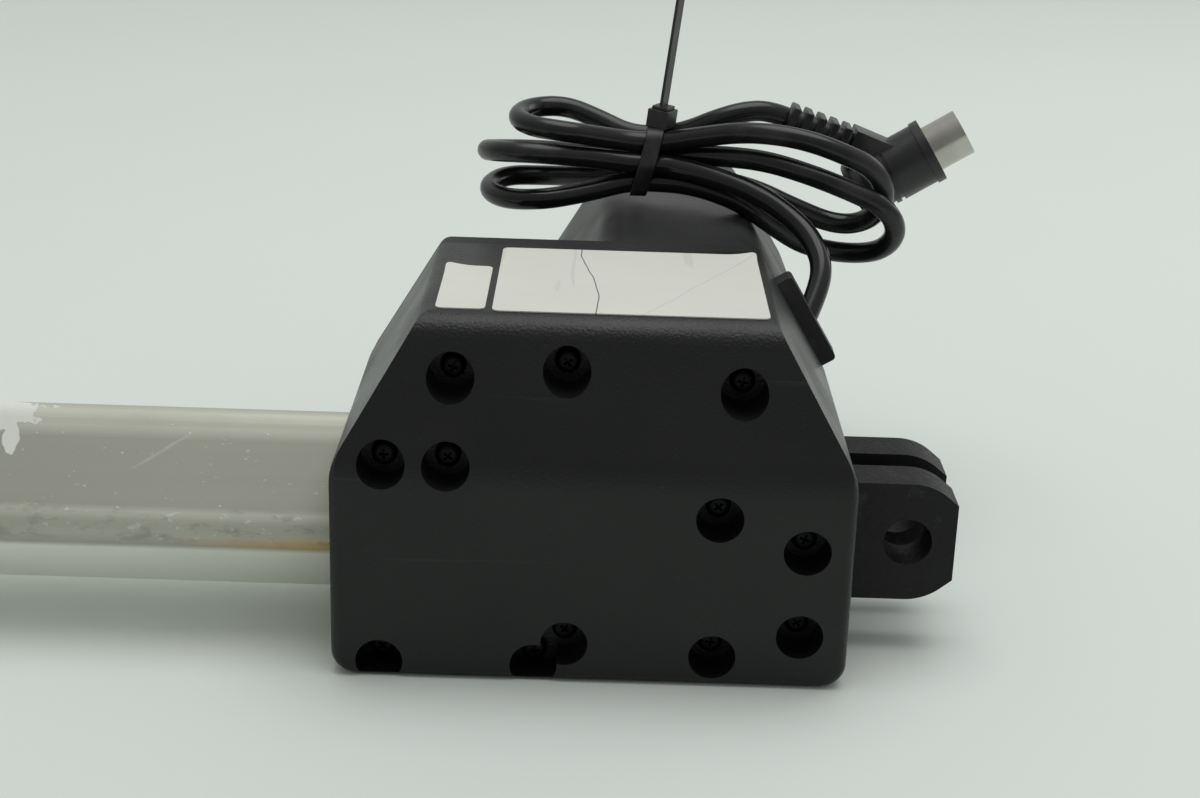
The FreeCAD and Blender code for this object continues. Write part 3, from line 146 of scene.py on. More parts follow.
# Teeth on the tail in metres: pitch, start, the bare length they leave, their foot and top across the
# tail, and their shares of the tail's half width and of the pitch
TOOTH_PITCH = 0.0016
TOOTH_START = 0.009
TOOTH_MARGIN = 0.012
TOOTH_FOOT = 0.00035
TOOTH_TOP = 0.0008
TOOTH_WIDTH_SHARE = 0.62
TOOTH_LENGTH_SHARE = 0.6

# The plug's boot: its start at the cable's end, its dip to the right in degrees, the rounds on its edges
# in metres, the first rib's share of the last one's width, and a gap's and a rib's share of the pitch
BOOT_START = TAIL[-1]
BOOT_DIP = 21.0
BOOT_ROUND = 0.0004
FIRST_RIB_SHARE = 0.88
RIB_GAP_SHARE = 0.12
RIB_LENGTH_SHARE = 0.60

# Bare strip of housing between the two labels, in metres
LABEL_GAP = 0.0017

# Screw places in the front view in millimetres, as (x, z)
SHORT_SCREWS = [(-27.5, 6.2), (-28.0, -16.1), (-49.0, -22.2), (-48.8, 14.1), (-129.5, 25.1),
                (-114.2, 25.1)]
LONG_SCREWS = [(-113.8, 44.5), (-86.2, 46.6), (-44.0, 42.9), (-130.1, -26.0), (-92.5, -26.0),
               (-85.1, -19.8)]

# Where a shank starts, as a share of the head's height
NECK_SHARE = 0.9

# How the cross recesses are turned, in radians: the first, and each further one
FIRST_TURN = 0.3
NEXT_TURN = 0.7

# A pan head from its front to its back, as shares of (height, radius)
HEAD_PROFILE = [(0.0, 0.30), (0.0, 0.55), (0.06, 0.78), (0.22, 0.94), (0.5, 1.0), (0.94, 1.0), (1.0, 0.96)]

# Marks on the guide tube in metres. The corner and the edge are (height, reach, reach where it ends), the
# upper facet's painted shade and the scratch's height are (start, full, full, end), the lower facet's painted
# floor reflection and the gold are (start, full), and the splash and its drip are (middle, reach)
TUBE_CORNER = (0.001, 0.0030, 0.0052)
TUBE_EDGE = (-0.0034, 0.0008, 0.0032)
TUBE_FACET = (0.0040, 0.0056, 0.0182, 0.0205)
TUBE_LOWER_FACET = (-0.0044, -0.0066)
TUBE_GOLD_REACH = (-0.182, -0.143)
TUBE_SCRATCH_START = -0.2175
TUBE_SCRATCH_LEAN = 1.9
TUBE_SCRATCH_HEIGHT = (0.0120, 0.0140, 0.0185, 0.0200)
TUBE_SPLASH = ((-0.2345, -0.0022, 0.0222), (0.0175, 0.0052, 0.0052))
TUBE_DRIP = ((-0.2250, -0.0084, 0.0174), (0.0019, 0.0042, 0.0042))
TUBE_METALLIC = 0.6
GOLD_SHADE = (0.72, 0.50, 0.16)
ROSY_SHADE = (0.50, 0.40, 0.42)
SCUFF_SHADE = (0.80, 0.80, 0.76)
# Painted reflection: the pale colour laid on the tube's lower facet in place of the lit floor that it mirrors
PAINTED_REFLECTION_SHADE = (0.97, 0.97, 0.90)
SPLASH_SHADE = (0.74, 0.75, 0.69)

# Marks on the larger label in metres: the crack's x, how far it drifts over its length, the score's x
# and lean
CRACK_START = -0.0796
CRACK_DRIFT = -0.0044
CRACK_LENGTH = 0.033
SCORE_START = -0.0582
SCORE_LEAN = 0.55


def colour(name, text, default):
    """A colour that a user may change."""
    return FloatVectorProperty(name=name, description=text, subtype="COLOR", size=3, min=0.0, max=1.0,
                               default=default)


def length(name, text, default):
    """A length that a user may change, in metres."""
    return FloatProperty(name=name, description=text, unit="LENGTH", subtype="DISTANCE", min=0.0,
                         default=default)


class ActuatorStage(bpy.types.PropertyGroup):
    """Floor and light."""
    floor_colour: colour("Floor", "Colour of the pale studio floor", (0.72, 0.76, 0.725))
    floor_span: length("Floor span", "Width of the floor", 9.0)
    key_power: FloatProperty(name="Key light", description="Power of the soft box overhead", subtype="POWER",
                             default=15.0)
    back_power: FloatProperty(name="Back light", description="Power of the soft box behind, at the right",
                              subtype="POWER", default=1.2)
    sky_dark: FloatProperty(name="Dark side", description="Strength of the room's light from the front",
                            min=0.0, default=0.30)
    sky_bright: FloatProperty(name="Bright side", description="Strength of the light from above and behind",
                              min=0.0, default=0.57)


class ActuatorFinishes(bpy.types.PropertyGroup):
    """Colours of the finishes."""
    housing: colour("Housing", "Grained black moulding", (0.0066, 0.0074, 0.0071))
    cover: colour("Motor cover", "Matte black moulding", (0.012, 0.0125, 0.0125))
    fork: colour("Forks", "Black coated casting", (0.010, 0.0105, 0.0105))
    tube: colour("Guide tube", "Satin aluminium extrusion", (0.53, 0.535, 0.455))
    push: colour("Push tube", "Anodised aluminium", (0.74, 0.74, 0.75))
    cable: colour("Cable", "Glossy black sheath", (0.009, 0.009, 0.0095))
    plug: colour("Plug", "Black overmoulding", (0.012, 0.012, 0.0125))
    label: colour("Labels", "Bare off-white film", (0.70, 0.70, 0.645))
    zinc: colour("Screws", "Black zinc plating", (0.014, 0.014, 0.0145))


class ActuatorCable(bpy.types.PropertyGroup):
    """Sizes of the cable, its tie and its plug."""
    diameter: length("Cable diameter", "Outside diameter of the sheath", 0.006)
    sheath_length: length("Cable length", "Length from the inlet to the boot", 0.783)
    tie_width: length("Tie width", "Width of the strap", 0.0048)
    tie_thick: length("Tie thickness", "Thickness of the strap", 0.0012)
    tie_top: length("Tie tail top", "Height of the tail's end above the spindle", 0.126)
    boot_long: length("Boot length", "Length of the plug's boot", 0.020)
    boot_core: length("Boot core", "Diameter of the boot between its ribs", 0.0068)
    boot_rib: length("Boot ribs", "Width of the boot's ribs", 0.0098)
    rib_count: IntProperty(name="Rib count", description="Ribs on the plug's boot", min=2, default=5)


class ActuatorFasteners(bpy.types.PropertyGroup):
    """Sizes of the screws."""
    head_size: length("Head", "Diameter of a screw's head", 0.0062)
    head_tall: length("Head height", "Height of a screw's head", 0.0028)
    recess_long: length("Recess", "Length of the cross recess", 0.0036)
    recess_wide: length("Recess width", "Width of one arm of the recess", 0.0009)
    recess_deep: length("Recess depth", "Depth of the recess", 0.0015)


class Finish:
    """A material being made, with short ways to add nodes and join them."""

    def __init__(self, name, shade, roughness, metallic=0.0):
        self.material = bpy.data.materials.new(name)
        self.material.use_nodes = True
        self.tree = self.material.node_tree
        self.shader = self.tree.nodes["Principled BSDF"]
        self.shader.inputs["Base Color"].default_value = (*shade, 1.0)
        self.shader.inputs["Roughness"].default_value = roughness
        self.shader.inputs["Metallic"].default_value = metallic
        self.place = self.node("ShaderNodeTexCoord").outputs["Object"]

    def node(self, kind, **settings):
        """A new node with its settings."""
        made = self.tree.nodes.new(kind)
        for key, value in settings.items():
            setattr(made, key, value)
        return made

    def feed(self, socket, value):
        """Joins another socket to this one, or sets a plain value on it."""
        if isinstance(value, bpy.types.NodeSocket):
            self.tree.links.new(value, socket)
        else:
            socket.default_value = value

    def spot(self, stretch, turn=(0.0, 0.0, 0.0)):
        """The place on the object, stretched and turned."""
        mapping = self.node("ShaderNodeMapping")
        self.feed(mapping.inputs["Vector"], self.place)
        mapping.inputs["Scale"].default_value = stretch
        mapping.inputs["Rotation"].default_value = turn
        return mapping.outputs["Vector"]

    def axes(self):
        """The place's x, y and z."""
        parts = self.node("ShaderNodeSeparateXYZ")
        self.feed(parts.inputs[0], self.place)
        return parts.outputs

    def noise(self, scale, detail=2.0, at=None, roughness=0.5):
        """Cloudy noise about 0.5."""
        texture = self.node("ShaderNodeTexNoise")
        self.feed(texture.inputs["Vector"], at or self.place)
        texture.inputs["Scale"].default_value = scale
        texture.inputs["Detail"].default_value = detail
        texture.inputs["Roughness"].default_value = roughness
        return texture.outputs["Fac"]

    def cells(self, scale, at, feature):
        """Distance in a pattern of cells."""
        texture = self.node("ShaderNodeTexVoronoi", feature=feature)
        self.feed(texture.inputs["Vector"], at)
        texture.inputs["Scale"].default_value = scale
        return texture.outputs["Distance"]

    def span(self, source, low, high, to_low=0.0, to_high=1.0, ease="LINEAR"):
        """The source's range low to high, carried to another range and held there."""
        fit = self.node("ShaderNodeMapRange", interpolation_type=ease)
        self.feed(fit.inputs["Value"], source)
        for socket, value in zip(("From Min", "From Max", "To Min", "To Max"), (low, high, to_low, to_high)):
            fit.inputs[socket].default_value = value
        return fit.outputs["Result"]

    def maths(self, how, first, second=0.0):
        """One step of arithmetic."""
        step = self.node("ShaderNodeMath", operation=how)
        self.feed(step.inputs[0], first)
        self.feed(step.inputs[1], second)
        return step.outputs[0]

    def plus(self, first, second):
        return self.maths("ADD", first, second)

    def less(self, first, second):
        return self.maths("SUBTRACT", first, second)

    def times(self, first, second):
        return self.maths("MULTIPLY", first, second)

    def around(self, source, centre, inside, outside):
        """1 where the source is within a reach of the centre, fading to 0 at a larger one."""
        return self.span(self.maths("ABSOLUTE", self.less(source, centre)), inside, outside, 1.0, 0.0)

    def band(self, source, start, full, still_full, end):
        """1 between two values of the source, fading to 0 outside them."""
        return self.times(self.span(source, start, full), self.span(source, still_full, end, 1.0, 0.0))

    def line(self, x, y, start, lean, wander, core, edge):
        """A thin line x = start + lean * y that wanders, 1 on it and 0 away from it."""
        bend = self.plus(self.times(y, lean), wander)
        return self.around(self.less(x, start), bend, core, edge)

    def near(self, centre, reach, wobble):
        """1 inside a stretched ball round a point and 0 outside it, with an uneven edge."""
        shifted = self.node("ShaderNodeVectorMath", operation="SUBTRACT")
        self.feed(shifted.inputs[0], self.place)
        shifted.inputs[1].default_value = centre
        scaled = self.node("ShaderNodeVectorMath", operation="DIVIDE")
        self.feed(scaled.inputs[0], shifted.outputs[0])
        scaled.inputs[1].default_value = reach
        far = self.node("ShaderNodeVectorMath", operation="LENGTH")
        self.feed(far.inputs[0], scaled.outputs[0])
        return self.span(self.plus(far.outputs["Value"], wobble), 1.0, 1.06, 1.0, 0.0)

    def tint(self, share, first, second):
        """Two colours mixed by a share."""
        mix = self.node("ShaderNodeMix", data_type="RGBA")
        self.feed(mix.inputs["Factor"], share)
        for socket, value in ((mix.inputs[6], first), (mix.inputs[7], second)):
            self.feed(socket, value if isinstance(value, bpy.types.NodeSocket) else (*value, 1.0))
        return mix.outputs[2]

    def paint(self, source):
        """Gives the shader its colour."""
        self.feed(self.shader.inputs["Base Color"], source)

    def roughen(self, source):
        """Gives the shader its roughness."""
        self.feed(self.shader.inputs["Roughness"], source)

    def gloss(self, level):
        """Sets how strongly a surface that isn't metal mirrors."""
        self.shader.inputs["Specular IOR Level"].default_value = level

    def relief(self, height, depth, strength=1.0):
        """Raises and lowers the surface's look by a height."""
        bump = self.node("ShaderNodeBump")
        bump.inputs["Strength"].default_value = strength
        bump.inputs["Distance"].default_value = depth
        self.feed(bump.inputs["Height"], height)
        self.feed(self.shader.inputs["Normal"], bump.outputs["Normal"])


def lighter(shade, share):
    """The shade moved towards white by a share."""
    return tuple(part + (1.0 - part) * share for part in shade)


def darker(shade, share):
    """The shade with only this share of its light."""
    return tuple(part * share for part in shade)


def moulding(name, shade, roughness, grain=1200.0, depth=0.00022, dust=0.05, gloss=0.35):
    """Black grained plastic: fine spark texture, smudges and a little dust and scratching."""
    made = Finish(name, shade, roughness)
    fine = made.noise(grain, 3.0)
    smudge = made.noise(34.0, 4.0)
    dirt = made.span(made.noise(420.0, 4.0, roughness=0.7), 0.64, 0.78)
    scratch = made.span(made.noise(16.0, 2.0, made.spot((0.6, 26.0, 26.0), (0.3, 0.9, 0.5))), 0.70, 0.74)
    marks = made.plus(made.times(dirt, 0.55), made.times(scratch, 0.5))
    made.paint(made.tint(made.times(marks, dust), shade, lighter(shade, 0.35)))
    made.roughen(made.span(made.plus(smudge, made.times(fine, 0.4)), 0.45, 0.95,
                           roughness - 0.07, roughness + 0.12))
    made.relief(fine, depth)
    made.gloss(gloss)
    return made.material


def coating(name, shade, roughness=0.5):
    """Black coated casting, a little orange-peeled, with rubbed spots."""
    made = Finish(name, shade, roughness)
    peel = made.noise(900.0, 3.0)
    rub = made.span(made.noise(120.0, 5.0, roughness=0.65), 0.60, 0.72)
    made.paint(made.tint(made.times(rub, 0.25), shade, lighter(shade, 0.10)))
    made.gloss(0.22)
    made.roughen(made.span(peel, 0.3, 0.7, roughness - 0.06, roughness + 0.1))
    made.relief(peel, 0.00018, 0.6)
    return made.material


def sheath(name, shade, roughness=0.15):
    """Glossy cable sheath with faint drawing waves and dull handled stretches."""
    made = Finish(name, shade, roughness)
    wave = made.noise(260.0, 2.0)
    handled = made.noise(60.0, 3.0)
    made.paint(made.tint(made.span(handled, 0.55, 0.8), shade, lighter(shade, 0.02)))
    made.roughen(made.span(handled, 0.35, 0.7, roughness, roughness + 0.16))
    made.relief(wave, 0.00008, 0.3)
    made.gloss(0.4)
    return made.material


def soft_black(name, shade, roughness):
    """Dull nylon or rubber with a fine skin."""
    made = Finish(name, shade, roughness)
    skin = made.noise(1300.0, 2.0)
    patch = made.noise(90.0, 3.0)
    made.paint(made.tint(made.span(patch, 0.5, 0.8), shade, lighter(shade, 0.03)))
    made.roughen(made.span(patch, 0.3, 0.7, roughness - 0.08, roughness + 0.1))
    made.relief(skin, 0.00008, 0.5)
    return made.material


def metal(name, shade, roughness, along=(1.0, 1.0, 1.0), grain=400.0, wear=0.08):
    """Metal with a machining or drawing grain along one way, spots and a little tarnish."""
    made = Finish(name, shade, roughness, 1.0)
    lines = made.noise(grain, 2.0, made.spot(along))
    cloud = made.noise(70.0, 4.0)
    made.paint(made.tint(made.span(cloud, 0.4, 0.7), shade, darker(shade, 1.0 - 2.0 * wear)))
    made.roughen(made.span(made.plus(lines, cloud), 0.7, 1.3, roughness - 0.08, roughness + 0.1))
    made.relief(lines, 0.00004, 0.5)
    return made.material


def plain_plastic(name, shade, roughness=0.45):
    """Unfilled engineering plastic with flow marks."""
    made = Finish(name, shade, roughness)
    flow = made.noise(45.0, 4.0)
    skin = made.noise(1100.0, 2.0)
    made.paint(made.tint(made.span(flow, 0.35, 0.75), shade, lighter(shade, 0.08)))
    made.roughen(made.span(flow, 0.3, 0.7, roughness - 0.06, roughness + 0.08))
    made.relief(skin, 0.00006, 0.4)
    return made.material


def guide_alloy(name, shade):
    """Dull extrusion: die lines, a scuffed front corner, a dried splash, a gold tint by the housing, painted
    shade on the upper facet and a painted reflection of the floor on the lower facet.
    """
    made = Finish(name, shade, 0.62, TUBE_METALLIC)
    x, _, z = made.axes()
    lines = made.noise(420.0, 3.0, made.spot((0.010, 1.0, 1.0)), 0.6)
    cloud = made.noise(30.0, 5.0, roughness=0.6)

    corner = made.around(z, *TUBE_CORNER)
    rubbing = made.span(made.noise(300.0, 5.0, made.spot((0.45, 1.0, 1.0)), 0.7), 0.52, 0.62)
    scuffing = made.span(made.noise(420.0, 4.0, made.spot((0.7, 1.0, 1.0)), 0.6), 0.62, 0.67)
    rubbed = made.times(rubbing, corner)
    scuffs = made.times(scuffing, corner)
    specks = made.span(made.noise(900.0, 3.0, made.spot((0.5, 1.0, 1.0))), 0.69, 0.73)
    wander = made.span(lines, 0.0, 1.0, -0.0008, 0.0008)
    scratch = made.line(x, z, TUBE_SCRATCH_START, TUBE_SCRATCH_LEAN, wander, 0.00015, 0.0010)
    scratched = made.times(scratch, made.times(made.band(z, *TUBE_SCRATCH_HEIGHT), 0.45))
    marks = made.plus(made.plus(scuffs, specks), scratched)

    edge = made.around(z, *TUBE_EDGE)
    gold = made.times(edge, made.span(x, *TUBE_GOLD_REACH))
    # Painted shade: the upper facet is darkened in place of the dim room that it mirrors
    upper_facet_painted_shade = made.tint(made.band(z, *TUBE_FACET), shade, darker(shade, 0.68))
    rosy = made.tint(made.times(edge, 0.30), upper_facet_painted_shade, ROSY_SHADE)
    warm = made.tint(made.times(gold, 0.9), rosy, GOLD_SHADE)
    greyed = made.tint(made.times(made.span(cloud, 0.40, 0.68), 0.22), warm, darker(shade, 0.80))
    lined = made.tint(made.times(made.span(lines, 0.35, 0.65), 0.16), greyed, darker(shade, 0.80))
    dark = made.tint(made.times(rubbed, 0.35), lined, darker(shade, 0.62))
    worn = made.tint(made.times(marks, 0.40), dark, SCUFF_SHADE)
    # Painted reflection: the lower facet is made pale in place of the lit floor that it mirrors
    lower_facet_painted_reflection = made.tint(made.span(z, *TUBE_LOWER_FACET), worn, PAINTED_REFLECTION_SHADE)

    wobble = made.span(made.noise(160.0, 4.0), 0.3, 0.7, -0.30, 0.30)
    splash = made.maths("MAXIMUM", made.near(*TUBE_SPLASH, wobble), made.near(*TUBE_DRIP, wobble))
    made.paint(made.tint(splash, lower_facet_painted_reflection, SPLASH_SHADE))
    made.feed(made.shader.inputs["Metallic"], made.span(splash, 0.0, 1.0, TUBE_METALLIC, 0.05))
    uneven = made.plus(made.times(lines, 0.5), made.times(cloud, 0.5))
    rough = made.span(uneven, 0.35, 0.65, 0.56, 0.68)
    made.roughen(made.plus(rough, made.times(made.plus(rubbed, splash), 0.15)))
    height = made.plus(made.plus(lines, made.times(marks, 1.2)), made.plus(rubbed, made.times(splash, 4.0)))
    made.relief(height, 0.00004, 0.6)
    return made.material


def film(name, shade):
    """Bare label film: faint yellowing, thin scratches, one crack across and one score."""
    made = Finish(name, shade, 0.45)
    x, y, _ = made.axes()
    cloud = made.noise(40.0, 4.0)
    wobble = made.span(made.noise(70.0, 1.0, made.spot((0.0, 1.0, 0.0))), 0.3, 0.7, -0.0004, 0.0004)
    drift = made.span(y, 0.0, CRACK_LENGTH, 0.0, CRACK_DRIFT, "SMOOTHSTEP")
    crack = made.line(x, y, CRACK_START, 0.0, made.plus(drift, wobble), 0.00008, 0.00020)
    score = made.line(x, y, SCORE_START, SCORE_LEAN, wobble, 0.00006, 0.00024)
    scratch = made.span(made.noise(90.0, 2.0, made.spot((1.6, 0.16, 1.0), (0.0, 0.0, 0.7))), 0.695, 0.71)
    aged = made.tint(made.span(cloud, 0.4, 0.75), shade, darker(shade, 0.94))
    scored = made.tint(made.times(scratch, 0.30), aged, (0.46, 0.46, 0.43))
    faint = made.tint(made.times(score, 0.35), scored, (0.25, 0.25, 0.24))
    made.paint(made.tint(made.times(crack, 0.9), faint, (0.03, 0.03, 0.03)))
    made.roughen(made.span(cloud, 0.3, 0.7, 0.38, 0.55))
    made.relief(made.less(made.noise(600.0, 2.0), crack), 0.00004, 0.5)
    return made.material


def circuit(name, shade):
    """Solder-masked board with tracks."""
    made = Finish(name, shade, 0.4)
    tracks = made.span(made.cells(160.0, made.spot((0.35, 1.0, 1.0)), "F2"), 0.5, 0.55)
    made.paint(made.tint(made.times(tracks, 0.4), shade, lighter(shade, 0.12)))
    made.roughen(made.span(made.noise(80.0), 0.3, 0.7, 0.32, 0.5))
    made.relief(tracks, 0.00003, 0.5)
    return made.material


def windings(name, shade):
    """Enamelled copper wire laid side by side."""
    made = Finish(name, shade, 0.35, 1.0)
    wires = made.noise(1500.0, 1.0, made.spot((1.0, 0.05, 1.0)))
    made.paint(made.tint(made.span(wires, 0.4, 0.6), shade, darker(shade, 0.6)))
    made.roughen(made.span(made.noise(90.0), 0.3, 0.7, 0.28, 0.45))
    made.relief(wires, 0.0002, 0.8)
    return made.material


def dress(material, *nodes):
    """Puts a finish on CAD nodes."""
    for name in nodes:
        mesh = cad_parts[name].data
        mesh.materials.clear()
        mesh.materials.append(material)


def built(name, mesh_maker, material):
    """A new piece from a bmesh, riding on the actuator."""
    mesh = bpy.data.meshes.new(name)
    mesh_maker.to_mesh(mesh)
    mesh_maker.free()
    mesh.materials.append(material)
    piece = bpy.data.objects.new(name, mesh)
    bpy.context.scene.collection.objects.link(piece)
    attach(piece, BODY)
    return piece


def smooth(piece, angle=35.0):
    """Smooth faces, with edges sharper than the angle kept crisp."""
    mesh = piece.data
    for face in mesh.polygons:
        face.use_smooth = True
    mesh.set_sharp_from_angle(angle=math.radians(angle))


def soften(piece, width, angle=40.0):
    """Small rounds along the edges that are sharper than the angle."""
    bevel = piece.modifiers.new("rounds", "BEVEL")
    bevel.width = width
    bevel.segments = 2
    bevel.limit_method = "ANGLE"
    bevel.angle_limit = math.radians(angle)


def add_box(mesh, low, high, turn=Matrix.Identity(4)):
    """A block between two corners, turned and placed by a matrix."""
    corners = [turn @ Vector((x, y, z)) for x in (low[0], high[0]) for y in (low[1], high[1])
               for z in (low[2], high[2])]
    points = [mesh.verts.new(corner) for corner in corners]
    for face in ((0, 1, 3, 2), (4, 6, 7, 5), (0, 4, 5, 1), (2, 3, 7, 6), (0, 2, 6, 4), (1, 5, 7, 3)):
        mesh.faces.new([points[number] for number in face])
    return points


def add_rings(mesh, rings, closed_ends=True):
    """Skins a row of rings that have the same number of points."""
    rows = [[mesh.verts.new(point) for point in ring] for ring in rings]
    for first, second in zip(rows, rows[1:]):
        for number in range(len(first)):
            after = (number + 1) % len(first)
            mesh.faces.new((first[number], first[after], second[after], second[number]))
    if closed_ends:
        mesh.faces.new(list(reversed(rows[0])))
        mesh.faces.new(rows[-1])
    return rows


class ACTUATOR_OT_stage(bpy.types.Operator):
    """Floor, soft light and the camera"""
    bl_idname = "actuator.stage"
    bl_label = "Stage"

    def execute(self, context):
        looks = context.scene.actuator_stage
        low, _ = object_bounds()
        mesh = bmesh.new()
        bmesh.ops.create_grid(mesh, x_segments=8, y_segments=8, size=looks.floor_span / 2)
        floor_mesh = bpy.data.meshes.new("studio_floor")
        mesh.to_mesh(floor_mesh)
        mesh.free()
        floor = bpy.data.objects.new("studio_floor", floor_mesh)
        floor.location = (*FLOOR_MIDDLE, low.z - FLOOR_DROP)
        context.scene.collection.objects.link(floor)
        floor_mesh.materials.append(self.paper(tuple(looks.floor_colour)))
        floor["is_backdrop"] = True

        context.scene.world = self.sky(looks)
        self.lamp(context, "key_box", KEY_PLACE, KEY_TARGET, KEY_SIZE, looks.key_power)
        self.lamp(context, "back_box", BACK_PLACE, BACK_TARGET, BACK_SIZE, looks.back_power)

        camera_data = bpy.data.cameras.new("photo_camera")
        camera_data.lens = CAMERA_LENS
        camera_data.sensor_width = CAMERA_SENSOR
        camera = bpy.data.objects.new("photo_camera", camera_data)
        turn = Matrix((CAMERA_RIGHT, CAMERA_UP, CAMERA_BACK)).transposed()
        camera.matrix_world = Matrix.Translation(CAMERA_PLACE) @ turn.to_4x4()
        context.scene.collection.objects.link(camera)
        context.scene.camera = camera
        context.scene.view_settings.view_transform = "Standard"
        return {"FINISHED"}

    @staticmethod
    def paper(shade):
        """Plain studio paper with faint clouds and a fine tooth."""
        made = Finish("studio_paper", shade, 0.8)
        cloud = made.span(made.noise(9.0, 5.0), 0.3, 0.7)
        made.paint(made.tint(made.times(cloud, 0.3), shade, FLOOR_CLOUD))
        made.relief(made.noise(500.0), 0.0001, 0.2)
        return made.material

    @staticmethod
    def sky(looks):
        """Soft light that is strong above and behind the object and weak on the camera's side."""
        world = bpy.data.worlds.new("studio_sky")
        world.use_nodes = True
        tree = world.node_tree
        way = tree.nodes.new("ShaderNodeTexCoord")
        lean = tree.nodes.new("ShaderNodeVectorMath")
        lean.operation = "DOT_PRODUCT"
        lean.inputs[1].default_value = SKY_WAY
        tree.links.new(way.outputs["Generated"], lean.inputs[0])
        level = tree.nodes.new("ShaderNodeMapRange")
        level.interpolation_type = "SMOOTHSTEP"
        levels = (*SKY_RANGE, looks.sky_dark, looks.sky_bright)
        for socket, value in zip(("From Min", "From Max", "To Min", "To Max"), levels):
            level.inputs[socket].default_value = value
        tree.links.new(lean.outputs["Value"], level.inputs["Value"])
        background = tree.nodes["Background"]
        background.inputs["Color"].default_value = SKY_TINT
        tree.links.new(level.outputs["Result"], background.inputs["Strength"])
        return world

    @staticmethod
    def lamp(context, name, place, target, size, power):
        """A round soft box that faces its target."""
        data = bpy.data.lights.new(name, "AREA")
        data.shape = "DISK"
        data.size = size
        data.energy = power
        lamp = bpy.data.objects.new(name, data)
        lamp.location = place
        lamp.rotation_mode = "QUATERNION"
        lamp.rotation_quaternion = (Vector(target) - Vector(place)).to_track_quat("-Z", "Y")
        context.scene.collection.objects.link(lamp)


class ACTUATOR_OT_housing(bpy.types.Operator):
    """Finishes of the mouldings"""
    bl_idname = "actuator.housing"
    bl_label = "Housing"

    def execute(self, context):
        looks = context.scene.actuator_finishes
        dress(moulding("grained_moulding", tuple(looks.housing), 0.34, grain=1400.0, depth=0.00015),
              "front_housing")
        dress(moulding("rear_moulding", tuple(looks.housing), 0.46), "rear_housing")
        dress(moulding("cover_moulding", tuple(looks.cover), 0.40, grain=1800.0, depth=0.00010),
              "motor_cover")
        dress(soft_black("inlet_rubber", (0.012, 0.012, 0.012), 0.6), "cable_inlet")
        return {"FINISHED"}


class ACTUATOR_OT_screws(bpy.types.Operator):
    """Cross-recessed pan-head screws at the bottom of the wells"""
    bl_idname = "actuator.screws"
    bl_label = "Screws"

    def execute(self, context):
        sizes = context.scene.actuator_fasteners
        zinc = metal("dull_zinc", tuple(context.scene.actuator_finishes.zinc), 0.42, grain=900.0)
        head = self.head(sizes)
        for node, places in (("housing_screws", LONG_SCREWS), ("block_screws", SHORT_SCREWS)):
            mesh = bmesh.new()
            for number, (x, z) in enumerate(places):
                front, back = self.reach(node, x * MM, z * MM)
                place = Matrix.Translation((x * MM, front, z * MM))
                turn = Matrix.Rotation(NEXT_TURN * number + FIRST_TURN, 4, "Y")
                start = len(mesh.verts)
                mesh.from_mesh(head)
                mesh.verts.ensure_lookup_table()
                bmesh.ops.transform(mesh, matrix=place @ turn, verts=mesh.verts[start:])
                neck = front + sizes.head_tall * NECK_SHARE
                self.shank(mesh, x * MM, z * MM, neck, back)
            piece = built(node + "_fine", mesh, zinc)
            smooth(piece)
            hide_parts(node)
        bpy.data.meshes.remove(head)
        return {"FINISHED"}

    @staticmethod
    def reach(node, x, z, within=0.004):
        """Front and back of the CAD screw at this place."""
        near = [vertex.co.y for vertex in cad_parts[node].data.vertices
                if math.hypot(vertex.co.x - x, vertex.co.z - z) < within]
        if not near:
            raise RuntimeError("no screw of %s at %g, %g" % (node, x, z))
        return min(near), max(near)

    @staticmethod
    def head(sizes, count=40, taper=0.55):
        """A domed head, its front at y 0, with a cross cut into it that tapers towards its bottom."""
        radius = sizes.head_size / 2
        tall = sizes.head_tall
        mesh = bmesh.new()
        rings = [[Vector((radius * wide * math.cos(step * math.tau / count), tall * deep,
                          radius * wide * math.sin(step * math.tau / count))) for step in range(count)]
                 for deep, wide in HEAD_PROFILE]
        add_rings(mesh, rings)
        bmesh.ops.recalc_face_normals(mesh, faces=mesh.faces)
        whole = bpy.data.meshes.new("screw_head")
        mesh.to_mesh(whole)
        mesh.free()
        cutter = bmesh.new()
        for turn in (0.0, math.pi / 2):
            points = add_box(cutter, (-sizes.recess_long / 2, -tall, -sizes.recess_wide / 2),
                             (sizes.recess_long / 2, sizes.recess_deep, sizes.recess_wide / 2),
                             Matrix.Rotation(turn, 4, "Y"))
            for point in points:
                if point.co.y > 0:
                    point.co.x *= taper
                    point.co.z *= taper
        bmesh.ops.recalc_face_normals(cutter, faces=cutter.faces)
        cross = bpy.data.meshes.new("screw_cross")
        cutter.to_mesh(cross)
        cutter.free()
        body = bpy.data.objects.new("screw_head", whole)
        tool = bpy.data.objects.new("screw_cross", cross)
        for thing in (body, tool):
            bpy.context.scene.collection.objects.link(thing)
        cut = body.modifiers.new("cross", "BOOLEAN")
        cut.operation = "DIFFERENCE"
        cut.object = tool
        cut.solver = "EXACT"
        cut.use_self = True
        result = bpy.data.meshes.new_from_object(body.evaluated_get(bpy.context.evaluated_depsgraph_get()))
        for thing in (body, tool):
            bpy.data.objects.remove(thing)
        bpy.data.meshes.remove(whole)
        bpy.data.meshes.remove(cross)
        return result

    @staticmethod
    def shank(mesh, x, z, front, back, pitch=0.0014, crest=0.0018, root=0.0014, count=20):
        """A threaded shank with a tapered point."""
        tip = 0.0003
        point_long = 0.0020
        clearance = 0.0002
        rings = []
        y = front
        while y < back - point_long - clearance:
            rings.append((crest if len(rings) % 2 else root, y))
            y += pitch / 2
        rings += [(root, back - point_long), (tip, back)]
        add_rings(mesh, [[Vector((x + radius * math.cos(step * math.tau / count), y,
                                  z + radius * math.sin(step * math.tau / count))) for step in range(count)]
                         for radius, y in rings])


